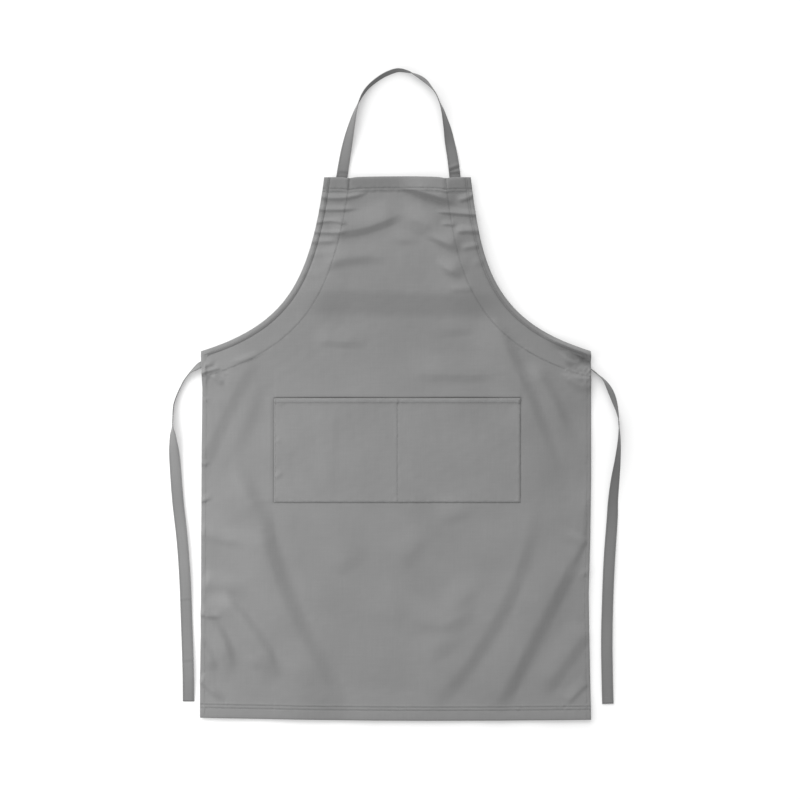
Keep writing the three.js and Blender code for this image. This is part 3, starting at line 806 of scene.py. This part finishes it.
# %% Rows and columns of the panel
# Heights above the foot of small folds at the sides and of the tape's mouths. The gathers are
# measured along the armhole, from its low end.
CORNER_FOLD = 46 * MM
LOW_TICK = 171 * MM
MIDDLE_TICK = 362 * MM
HIGH_TICK = 422 * MM
MOUTHS = WAIST - FOOT - 36 * MM
GATHERS = ARMHOLE_LENGTH - 70 * MM
SKIRT_STEP = 5.8 * MM
BIB_STEP = 4.6 * MM
EDGE_STEP = 3.4 * MM
EDGE_REACH = 60 * MM
skirt_steps = spaced(WAIST - FOOT, SKIRT_STEP, [
    (0, 1.2 * MM, 3 * MM), (FOOT_SEAMS[0], 1.1 * MM, 4 * MM), (FOOT_SEAMS[1], 1.1 * MM, 4 * MM),
    (CORNER_FOLD, 3 * MM, 16 * MM), (LOW_TICK, 2 * MM, 7 * MM), (MIDDLE_TICK, 2.4 * MM, 5 * MM),
    (HIGH_TICK, 2.4 * MM, 5 * MM), (pocket_low[1] - FOOT, 1.4 * MM, 2 * MM),
    (pocket_high[1] - FOOT, 1.0 * MM, 3 * MM), (MOUTHS, 1.3 * MM, 12 * MM)])
bib_steps = spaced(ARMHOLE_LENGTH, BIB_STEP, [
    (ARMHOLE_LENGTH, 1.2 * MM, 3 * MM), (ARMHOLE_LENGTH - TOP_SEAMS[0], 1.1 * MM, 4 * MM),
    (ARMHOLE_LENGTH - TOP_SEAMS[1], 1.1 * MM, 4 * MM), (GATHERS, 1.6 * MM, 48 * MM)])
edge_steps = spaced(EDGE_REACH, EDGE_STEP, [
    (0, 1.1 * MM, 3 * MM), (NARROW_SEAM, 1.1 * MM, 4 * MM), (CASING_SEAM, 0.9 * MM, 3 * MM)])
inner_low = EDGE_REACH - SIDE
inner_steps = spaced(2 * (SIDE - EDGE_REACH), SKIRT_STEP, [
    (pocket_low[0] - inner_low, 1.2 * MM, 3 * MM), (pocket_high[0] - inner_low, 1.4 * MM, 3 * MM)])

way_down = np.linspace(ARMHOLE_LENGTH, 0, len(ARMHOLE))[::-1]
bib_y = np.interp(ARMHOLE_LENGTH - bib_steps[1:], way_down, ARMHOLE[:, 1])
row_y = np.concatenate((FOOT + skirt_steps, bib_y))
arm_run = np.gradient(ARMHOLE, axis=0)
arm_run /= np.linalg.norm(arm_run, axis=1)[:, None]
INWARD = np.stack([arm_run[:, 1], -arm_run[:, 0]], axis=1)


def edge_columns(side):
    """x of every row on the lines that keep each of edge_steps inside one edge."""
    outer = side_at(np.full(row_y.shape, side), row_y)
    lines = []
    for step in edge_steps:
        line = ARMHOLE + step * INWARD
        along_armhole = np.interp(row_y, line[::-1, 1], line[::-1, 0], left=np.inf)
        lines.append(np.minimum(along_armhole, outer - step))
    return side * np.stack(lines, axis=1) + lean_at(row_y)[:, None]


left_columns, right_columns = edge_columns(-1), edge_columns(1)
EDGE_COLUMNS = len(edge_steps) - 1
INNER_COLUMNS = len(inner_steps) - 1
PANEL_COLUMNS = 2 * EDGE_COLUMNS + INNER_COLUMNS
PANEL_ROWS = len(row_y) - 1
print("panel grid:", PANEL_COLUMNS, "by", PANEL_ROWS)

# %% [markdown]
# Now every corner of the grid gets its place. The rows nearest the top and the foot bend with the
# bowed edges, and the height comes from the function above. The cloth's own map is simply its plan,
# because folds this low hardly shorten it.

# %% Front panel
FOOT_BEND = 120 * MM
TOP_BEND = (80 * MM, 24 * MM)


def place_panel(column, row):
    """Places of the panel's corners, as `cloth_sheet` asks for them."""
    inner = inner_steps[np.clip(column - EDGE_COLUMNS, 0, INNER_COLUMNS)] / inner_steps[-1]
    x = left_columns[row, -1] * (1 - inner) + right_columns[row, -1] * inner
    from_left = np.clip(column, 0, EDGE_COLUMNS)
    from_right = np.clip(PANEL_COLUMNS - column, 0, EDGE_COLUMNS)
    x = np.where(column < EDGE_COLUMNS, left_columns[row, from_left], x)
    x = np.where(column > PANEL_COLUMNS - EDGE_COLUMNS, right_columns[row, from_right], x)
    low_bow = (foot_at(x) - FOOT) * (1 - smooth(FOOT, FOOT + FOOT_BEND, row_y[row]))
    bend_start, bend_end = (BIB_TOP - below for below in TOP_BEND)
    high_bow = (top_at(x) - BIB_TOP) * smooth(bend_start, bend_end, row_y[row])
    y = row_y[row] + low_bow + high_bow
    height, wall, seam = panel_shape(x, y)
    return np.stack([x, y, height], axis=1), np.stack([x, y], axis=1), wall, seam


panel = cloth_sheet("front_panel_cloth", PANEL_COLUMNS, PANEL_ROWS, place_panel,
                    panel_cotton, CLOTH + HEM_LAYER, -1.0)
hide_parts("front_panel")

# %% [markdown]
# ## Casings
# A curved strip of the same cloth is sewn behind each armhole. Between it and the panel the tape
# runs freely. Only its edge can be seen, from below or through the mouth at the side. A small grid
# swept along the armhole does it, because its threads then follow the curve as on the cut strip.

# %% Casings
CASING_WIDE = 44 * MM
CASING_INSET = 1.5 * MM
CASING_SIDE_GAP = 2.5 * MM
CASING_COLUMNS = 12
CASING_ROWS = 120
CASING_RIPPLE = 0.05 * MM
CASING_LIFT = 2 * CASING_RIPPLE
# Shares of the armhole's length where the casing starts and where it begins to turn downward.
CASING_START = 0.006
CASING_TURN = 0.8


def armhole_at(part):
    """Points and directions of the armhole at some shares of its length."""
    index = part * (len(ARMHOLE) - 1)
    edge, run = (
        np.stack([np.interp(index, np.arange(len(ARMHOLE)), column) for column in table.T], axis=1)
        for table in (ARMHOLE, np.gradient(ARMHOLE, axis=0)))
    return edge, run / np.linalg.norm(run, axis=1)[:, None]


def casing(side, name):
    """The casing of one side: 1 for the right one, -1 for the left one."""
    def place(column, row):
        """Places of this casing's corners, as `cloth_sheet` asks for them."""
        part = CASING_START + (1 - CASING_START) * row / CASING_ROWS
        edge, run = armhole_at(part)
        turn = smooth(CASING_TURN, 1, part)[:, None]
        inward = run[:, ::-1] * (1, -1)
        inward = inward * (1 - turn) + np.array((0, -1)) * turn
        inward /= np.linalg.norm(inward, axis=1)[:, None]
        across = column if side > 0 else CASING_COLUMNS - column
        depth = CASING_INSET + (CASING_WIDE - CASING_INSET) * across / CASING_COLUMNS
        x = np.minimum(edge[:, 0] + inward[:, 0] * depth, SIDE - CASING_SIDE_GAP)
        y = edge[:, 1] + inward[:, 1] * depth
        z = CLOTH + CASING_LIFT + CASING_RIPPLE * ripple(CREASES, x, y)
        points = np.stack([side * x + lean_at(y), y, z], axis=1)
        # Painted shade along the casing's seam.
        seam = np.exp(-((depth - CASING_SEAM) / GROOVE_WIDE) ** 2)
        return points, points[:, :2], np.full(x.shape, CLOTH), seam

    piece = cloth_sheet(name + "_cloth", CASING_COLUMNS, CASING_ROWS, place, casing_cotton, CLOTH, -1.0)
    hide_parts(name)
    return piece


casing_left = casing(-1, "casing_left")
casing_right = casing(1, "casing_right")

# %% [markdown]
# ## Pocket
# One wide patch is sewn on along its sides and foot, and a seam up the middle makes two pockets of
# it. The mouth is hemmed and stands a little open on both sides of that seam. The pocket lies on
# the panel, so its height is the panel's height plus its own, and the two can't cut each other.

# %% Pocket
POCKET_WIDE = pocket_high[0] - pocket_low[0]
POCKET_TALL = pocket_high[1] - pocket_low[1]
POCKET_SEAM = 1.7 * MM
POCKET_HEM = 6.6 * MM
POCKET_EASE = 2.0 * MM
POCKET_GAP = 0.1 * MM
POCKET_EDGE_DROP = 0.5 * MM
# How deep the pocket's seam grooves are and how dark their painted shade is, at the rim and in the
# middle.
RIM_GROOVE_AND_SHADE = 0.24
MIDDLE_GROOVE_AND_SHADE = 0.6
POCKET_STEP = 3.4 * MM
pocket_mid = (pocket_low[0] + pocket_high[0]) / 2
# A long crease down the left half and short puckers at its edge, in the columns of FOLDS.
POCKET_FOLDS = np.array([
    (-99, -4, -101, -90, -104, -190, 0.8, 14, 40, 60, 60),
    (-186, -22, -193, -20, -201, -17, 0.9, 4, 7, 8, 3),
    (-187, -76, -194, -80, -201, -83, 0.9, 4, 7, 8, 3),
    (-184, -130, -192, -136, -201, -142, 1.1, 4, 8, 10, 3),
]) * MM
pocket_steps_x = spaced(POCKET_WIDE, POCKET_STEP, [
    (0, 1.0 * MM, 5 * MM), (POCKET_WIDE, 1.0 * MM, 5 * MM), (POCKET_WIDE / 2, 1.1 * MM, 5 * MM)])
pocket_steps_y = spaced(POCKET_TALL, POCKET_STEP, [
    (0, 1.0 * MM, 5 * MM), (POCKET_TALL, 1.0 * MM, 9 * MM)])


def pocket_shape(x, y):
    """Height of the upper side, thickness and seam mark of the pocket at many points."""
    across = (x - pocket_low[0]) / POCKET_WIDE
    up = (y - pocket_low[1]) / POCKET_TALL
    from_side = np.minimum(x - pocket_low[0], pocket_high[0] - x)
    from_foot = y - pocket_low[1]
    from_mouth = pocket_high[1] - y
    to_seam = np.min(np.abs([
        from_side - POCKET_SEAM, from_foot - POCKET_SEAM, from_mouth - POCKET_HEM, x - pocket_mid,
    ]), axis=0)
    rim = np.minimum(np.minimum(from_side, from_foot), from_mouth - MM) < POCKET_HEM
    # Painted shade: the seam mark darkens the pocket's colour along its seams.
    seam = np.where(rim, RIM_GROOVE_AND_SHADE, MIDDLE_GROOVE_AND_SHADE) * np.exp(-(to_seam / GROOVE_WIDE) ** 2)
    edge = np.minimum(np.minimum(from_side, from_foot), from_mouth)
    ease = POCKET_EASE * np.sin(2 * math.pi * across) ** 2 * np.clip(up, 0, 1) ** 2
    pucker = PUCKER_HIGH * ripple(PUCKERS, x, y) * np.exp(-(to_seam / PUCKER_WIDE) ** 2)
    wall = CLOTH + HEM_LAYER * (1 - smooth(POCKET_HEM + MM, POCKET_HEM + 2 * MM, from_mouth))
    rounding = POCKET_EDGE_DROP * np.exp(-(edge / EDGE_ROUND) ** 2)
    height = panel_shape(x, y)[0] + POCKET_GAP + wall + ease + folds(POCKET_FOLDS, x, y)
    return height + pucker - GROOVE_DEEP * seam - rounding, wall, seam


def place_pocket(column, row):
    """Places of the pocket's corners, as `cloth_sheet` asks for them."""
    x = pocket_low[0] + pocket_steps_x[column]
    y = pocket_low[1] + pocket_steps_y[row]
    height, wall, seam = pocket_shape(x, y)
    return np.stack([x, y, height], axis=1), np.stack([x, y], axis=1), wall, seam


pocket = cloth_sheet("pocket_cloth", len(pocket_steps_x) - 1, len(pocket_steps_y) - 1, place_pocket,
                     pocket_cotton, CLOTH + HEM_LAYER, -1.0)
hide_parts("pocket")

# %% [markdown]
# ## Tape
# One tape, folded and sewn, 19 mm wide. It starts at the end of the left tie, goes in at the left
# mouth, up through the casing, round the neck and down the other side. Flat tape can't turn in its
# own plane, so it stands up on edge wherever it bends. A curve with a bevel would twist on its own
# there, so a table gives the tape's place and its tilt at a few stations.

# %% Tape stations
# x, y, tilt that lifts the right-hand edge, and height of the low edge: millimetres and degrees.
LEFT_TIE = [
    (-344.5, -510, 0, 0.6), (-344.8, -458, 4, 2.6), (-347.6, -375, 0, 1.8), (-350.0, -308, 6, 2.6),
    (-354.8, -242, 10, 1.6), (-362.0, -176, 3, 2.4), (-367.0, -110, 14, 1.0), (-369.3, -80, 42, 0),
    (-370.0, -66, 58, 0), (-370.4, -54, 82, 0), (-370.2, -42, 86, 0), (-368.6, -18, 88, 0),
    (-362.7, 0, 88, 0), (-356.9, 12.6, 87, 0), (-350.4, 24.5, 87, 0), (-342.0, 35, 81, 0.2),
    (-333.0, 42, 56, 0.6), (-322.0, 48.5, 33, 1.0),
]
NECK_LOOP = [
    (-89.6, 362, 0, 1.3), (-87.2, 378, 4, 0.6), (-82.5, 405, 16, 0), (-77.0, 431.6, 36, 0),
    (-70.6, 458, 60, 0), (-66.6, 471.4, 74, 0), (-61.4, 484.7, 90, 0), (-54.4, 498, 103, 0),
    (-43.7, 511.3, 110, 0), (-26.7, 524.6, 118, 0), (-11.6, 532.6, 121, 0), (4.0, 537.0, 117, 0),
    (20.6, 534.2, 100, 0), (30.2, 530.4, 73, 0), (41.0, 524.6, 57, 0), (49.8, 517.9, 59, 0),
    (58.9, 508, 78, 0), (66.2, 498, 86, 0), (71.8, 484.7, 86, 0), (77.0, 471.4, 72, 0),
    (80.7, 458, 59, 0), (85.5, 438, 39, 0), (89.0, 418, 21, 0), (93.8, 392, 6, 1.4),
    (97.6, 362, 0, 1.3),
]
RIGHT_TIE = [
    (315.0, 47, 52, 1.0), (322.5, 41.8, 84, 0.6), (329.0, 37.2, 89, 0.2), (337.0, 30.4, 88, 0),
    (345.5, 22.0, 71, 0), (354.5, 7, 50, 0), (361.4, -10, 48, 0), (367.2, -31, 72, 0),
    (369.4, -48, 89, 0), (370.0, -76, 70, 0), (367.3, -110, 54, 0), (363.2, -143, 38, 0),
    (359.9, -176, 27, 0), (358.4, -209, 14, 0.8), (353.8, -275, 4, 2.4), (351.0, -342, 8, 1.8),
    (349.6, -408, 2, 2.6), (350.4, -475, 4, 2.2), (351.6, -514, 0, 0.8),
]
TAPE_INSET = 27 * MM
HIDDEN_HEIGHT = 1.3 * MM
# Shares of the armhole's length.
HIDDEN_STATIONS = np.linspace(0.03, 0.95, 9)


def casing_stations(side):
    """Stations of the hidden tape, in the columns of the tables, in the order of its run."""
    edge, run = armhole_at(HIDDEN_STATIONS)
    y = edge[:, 1] - run[:, 0] * TAPE_INSET
    x = side * (edge[:, 0] + run[:, 1] * TAPE_INSET) + lean_at(y)
    rows = np.stack([x, y, np.zeros(len(x)), np.full(len(x), HIDDEN_HEIGHT)], axis=1) / MM
    return rows if side > 0 else rows[::-1]


stations = np.concatenate((LEFT_TIE, casing_stations(-1), NECK_LOOP, casing_stations(1), RIGHT_TIE))
print("tape stations:", len(stations))

# %% [markdown]
# A smooth curve through all stations gives the run of the tape: between two of them it is a cubic
# that leaves and arrives in the direction of their neighbours. Rows lie evenly along that run.

# %% Run of the tape
TAPE_STEP = 2.6 * MM
STATION_STEPS = 24


def through(rows, steps):
    """A smooth curve through all rows of a table, with some steps from each row to the next."""
    padded = np.concatenate((rows[:1], rows, rows[-1:]))
    s = np.linspace(0, 1, steps, endpoint=False)[:, None, None]
    before, start, end, after = (padded[i:len(padded) - 3 + i] for i in range(4))
    leave, arrive = (end - before) / 2, (after - start) / 2
    curve = ((2 * start - 2 * end + leave + arrive) * s ** 3
             + (3 * end - 3 * start - 2 * leave - arrive) * s ** 2 + leave * s + start)
    return np.concatenate((curve.transpose(1, 0, 2).reshape(-1, rows.shape[1]), rows[-1:]))


fine = through(stations * (MM, MM, 1, MM), STATION_STEPS)
way = np.concatenate(([0.0], np.cumsum(np.hypot(*np.diff(fine[:, :2], axis=0).T))))
TAPE_LENGTH = way[-1]
TAPE_ROWS = round(TAPE_LENGTH / TAPE_STEP)
tape_way = np.linspace(0, TAPE_LENGTH, TAPE_ROWS + 1)
tape_x, tape_y, tape_tilt, tape_rest = (np.interp(tape_way, way, c) for c in fine.T)
tape_tilt = np.radians(tape_tilt)
tape_run = np.stack([np.gradient(tape_x), np.gradient(tape_y)], axis=1)
tape_run /= np.linalg.norm(tape_run, axis=1)[:, None]
print("tape length in millimetres:", round(TAPE_LENGTH / MM))

# %% [markdown]
# Soft tape curls over where it stands in a bend, and a mouth gathers it, so it is narrower there.
# Creases from the packing run across it. Both are short tables, and a bell curve round each place
# lets the tape go back to its full width without a step.

# %% Width and creases of the tape
TAPE_WIDE = 19 * MM
# Where the tape is narrower: x, y, share of its width that is lost, and reach: millimetres.
PINCHES = [
    (-358, 8, 0.5, 60), (-323, 48, 0.1, 16), (4, 537, 0.42, 130),
    (325, 40, 0.5, 32), (367, -31, 0.35, 60),
]
# Where the tape was creased: x, y, slant across the tape, and how far its run climbs: millimetres.
TAPE_CREASES = [
    (96.0, 374.5, 0.23, -3.0), (97.0, 367.5, -0.05, -1.9), (-88.6, 368, 0.1, 0.9),
    (-346.0, -342, 0.1, 0.5), (-344.8, -442, 0.1, 0.5),
]


def tape_row_at(x, y):
    """The tape's row that is nearest to a place, given in millimetres."""
    return np.argmin(np.hypot(tape_x - x * MM, tape_y - y * MM))


tape_width = np.full(len(tape_way), TAPE_WIDE)
for x, y, lost, reach in PINCHES:
    from_pinch = tape_way - tape_way[tape_row_at(x, y)]
    tape_width *= 1 - lost * np.exp(-(from_pinch / (reach * MM)) ** 2)
print("narrowest width in millimetres:", round(tape_width.min() / MM, 1))

# %% [markdown]
# At each step of the run a short row of points lies across it, tilted as the table says. Two grooves
# near the edges are its seams, so columns lie closer there. The tape's map is its flat length and
# width, which keeps the weave straight along it.

# %% Tape
TAPE_THICK = 1.2 * MM
TAPE_SEAM = 2.2 * MM
TAPE_SEAM_WIDE = 0.8 * MM
TAPE_EDGE_WIDE = 0.6 * MM
# Shares of the thickness that are lost in a seam and at an edge.
SEAM_THINNED = 0.3
EDGE_THINNED = 0.4
CREASE_WIDE = 3 * MM
CREASE_LINE = 0.6 * CREASE_WIDE
half_columns = np.array([3.2, 6.4, 7.3, 8.0, 8.8, 9.5]) * MM
TAPE_COLUMNS = np.concatenate((-half_columns[::-1], [0.0], half_columns))


def tape_point(row, wide, thick):
    """A point of the tape: `wide` off its middle to the right, `thick` above its middle."""
    tilt, run = tape_tilt[row], tape_run[row]
    wide = wide * tape_width[row] / TAPE_WIDE
    aside = wide * np.cos(tilt) - thick * np.sin(tilt)
    low = (tape_width[row] * np.abs(np.sin(tilt)) + TAPE_THICK * np.abs(np.cos(tilt))) / 2
    high = np.maximum(tape_rest[row], 0) + low + wide * np.sin(tilt) + thick * np.cos(tilt)
    return np.stack([tape_x[row] + run[:, 1] * aside, tape_y[row] - run[:, 0] * aside, high], axis=1)


def place_tape(column, row):
    """Places of the tape's corners, as `cloth_sheet` asks for them."""
    wide = TAPE_COLUMNS[column]
    from_edge = TAPE_WIDE / 2 - np.abs(wide)
    # Painted shade: the seam mark darkens the tape along its two seam grooves.
    seam = np.exp(-((from_edge - TAPE_SEAM) / TAPE_SEAM_WIDE) ** 2)
    wall = TAPE_THICK * (1 - SEAM_THINNED * seam - EDGE_THINNED * np.exp(-from_edge / TAPE_EDGE_WIDE))
    raised = np.zeros(len(row))
    for x, y, slant, climb in TAPE_CREASES:
        off = tape_way[row] - tape_way[tape_row_at(x, y)] - slant * wide
        raised += climb * MM * off / CREASE_WIDE * np.exp(-(off / CREASE_WIDE) ** 2)
        # Painted shade: a crease also darkens the tape along its line.
        seam = np.maximum(seam, abs(climb) * np.exp(-(off / CREASE_LINE) ** 2))
    flat = np.stack([wide, tape_way[row]], axis=1)
    return tape_point(row, wide, raised), flat, wall, seam


tape = cloth_sheet("strap_tape", len(TAPE_COLUMNS) - 1, TAPE_ROWS, place_tape,
                   tape_cotton, TAPE_THICK, 0.0)
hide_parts("strap")

# %% [markdown]
# ## Stitches
# A sewing machine leaves a row of short thread ends, each dipping into the cloth at both ends. One
# small stretched ball is a good stitch at this size. It is copied along every seam, lying along
# the seam and half sunk into its groove. One joined mesh is lighter than thousands of objects.

# %% Stitch maker
STITCH_STEP = 3.2 * MM
STITCH_LONG = 2.5 * MM
THREAD_RADIUS = 0.28 * MM
STITCH_RISE = THREAD_RADIUS / 4


def sew(name, runs):
    """One mesh with all the stitches of some runs; a run is points and upward normals in step."""
    bm = bmesh.new()
    bmesh.ops.create_uvsphere(bm, u_segments=5, v_segments=4, radius=1.0)
    ball = np.array([vertex.co[:] for vertex in bm.verts])
    faces = [[vertex.index for vertex in face.verts] for face in bm.faces]
    bm.free()

    centres = np.concatenate([(points[:-1] + points[1:]) / 2 for points, _ in runs])
    along = np.concatenate([np.diff(points, axis=0) for points, _ in runs])
    up = np.concatenate([normals[:-1] for _, normals in runs])
    along /= np.linalg.norm(along, axis=1)[:, None]
    aside = np.cross(up, along)
    aside /= np.linalg.norm(aside, axis=1)[:, None]
    up = np.cross(along, aside)
    points = (centres[:, None] + along[:, None] * ball[:, 2, None] * STITCH_LONG / 2
              + aside[:, None] * ball[:, 0, None] * THREAD_RADIUS
              + up[:, None] * ball[:, 1, None] * THREAD_RADIUS)
    all_faces = [[i * len(ball) + corner for corner in face]
                 for i in range(len(centres)) for face in faces]
    mesh = bpy.data.meshes.new(name)
    mesh.from_pydata(points.reshape(-1, 3).tolist(), [], all_faces)
    mesh.shade_smooth()
    mesh.materials.append(thread)
    piece = bpy.data.objects.new(name, mesh)
    scene_objects.link(piece)
    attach(piece, "root")
    print(name, "has", len(centres), "stitches")
    return piece


def run_on(shape, line, step=STITCH_STEP):
    """A run of stitches on a sheet, along a line on the flat cloth."""
    length = np.linalg.norm(np.diff(line, axis=0), axis=1).sum()
    flat = even_points(line, max(round(length / step), 1) + 1)
    height = shape(flat[:, 0], flat[:, 1])[0] + STITCH_RISE
    return np.column_stack((flat, height)), np.tile((0.0, 0.0, 1.0), (len(flat), 1))


print("stitches in 100 mm of a seam:", round(100 * MM / STITCH_STEP))

# %% [markdown]
# The panel is sewn twice across the top and the foot, once down each side and round each armhole,
# and once along the inner edge of each casing.

# %% Stitches of the panel
HEM_END = 2 * MM
SIDE_END = 6 * MM
BIB_POINTS = 60
SKIRT_POINTS = 200


def inside_armhole(distance, side):
    """The line that keeps a distance inside one armhole, up to the bib's top edge."""
    line = ARMHOLE + distance * INWARD
    line = line[line[:, 1] < BIB_TOP - HEM_END]
    return np.stack([side * line[:, 0] + lean_at(line[:, 1]), line[:, 1]], axis=1)


bib_span = np.linspace(MM - BIB_HALF, BIB_HALF - MM, BIB_POINTS) + BIB_LEAN
foot_span = np.linspace(HEM_END - SIDE, SIDE - HEM_END, SKIRT_POINTS)
side_span = np.linspace(FOOT + HEM_END, WAIST - SIDE_END, SKIRT_POINTS)
panel_lines = [np.column_stack((bib_span, top_at(bib_span) - seam)) for seam in TOP_SEAMS]
panel_lines += [np.column_stack((foot_span, foot_at(foot_span) + seam)) for seam in FOOT_SEAMS]
for side in (-1, 1):
    side_x = side * (side_at(np.full(SKIRT_POINTS, side), side_span) - NARROW_SEAM)
    panel_lines.append(np.column_stack((side_x, side_span)))
    panel_lines.append(inside_armhole(NARROW_SEAM, side))
    panel_lines.append(inside_armhole(CASING_SEAM, side))
panel_runs = [run_on(panel_shape, line) for line in panel_lines]
panel_stitches = sew("panel_stitches", panel_runs)

# %% [markdown]
# The pocket is sewn down one side, along the foot and up the other side, across the mouth's hem and
# up the middle. Short close-set bars lock the corners of the mouth, where a hand pulls most.

# %% Stitches of the pocket
BAR_LONG = 9 * MM
BAR_STEP = 1.1 * MM
low_x, high_x = pocket_low[0] + POCKET_SEAM, pocket_high[0] - POCKET_SEAM
low_y, high_y = pocket_low[1] + POCKET_SEAM, pocket_high[1] - MM
hem_y = pocket_high[1] - POCKET_HEM
POCKET_LINES = [
    [(low_x, high_y), (low_x, low_y)],
    [(low_x, low_y), (high_x, low_y)],
    [(high_x, low_y), (high_x, high_y)],
    [(low_x, hem_y), (high_x, hem_y)],
    [(pocket_mid, low_y), (pocket_mid, high_y)],
]
pocket_runs = [run_on(pocket_shape, np.array(line)) for line in POCKET_LINES]
for x in (low_x + MM, pocket_mid + MM, high_x - MM):
    pocket_runs.append(run_on(pocket_shape, np.array([(x, high_y), (x, high_y - BAR_LONG)]), BAR_STEP))
pocket_stitches = sew("pocket_stitches", pocket_runs)

# %% [markdown]
# The tape is sewn along both edges, and its ends are turned in and sewn across. The seam shows on
# both faces, which matters because the tape turns over on its way.

# %% Stitches of the tape
END_POINTS = 6
END_ROW = 4
TAPE_GROOVE = 0.2 * MM
tape_half = TAPE_WIDE / 2 - TAPE_SEAM
long_rows = np.round(np.linspace(0, TAPE_ROWS, round(TAPE_LENGTH / STITCH_STEP))).astype(int)
tape_lines = [(long_rows, np.full(len(long_rows), edge * tape_half)) for edge in (-1, 1)]
across_end = np.linspace(-tape_half, tape_half, END_POINTS)
tape_lines += [(np.full(END_POINTS, row), across_end) for row in (END_ROW, TAPE_ROWS - END_ROW)]
tape_runs = []
for face in (-1, 1):
    level = face * (TAPE_THICK / 2 - TAPE_GROOVE + THREAD_RADIUS / 2)
    for rows, wide in tape_lines:
        on_face = tape_point(rows, wide, np.full(len(rows), level))
        tape_runs.append((on_face, on_face - tape_point(rows, wide, np.zeros(len(rows)))))
tape_stitches = sew("strap_stitches", tape_runs)

# %% [markdown]
# ## Soft parts
# The pieces of cloth are listed by name.

# %% Soft parts
print("soft pieces:", [piece.name for piece in (panel, casing_left, casing_right, pocket, tape)])
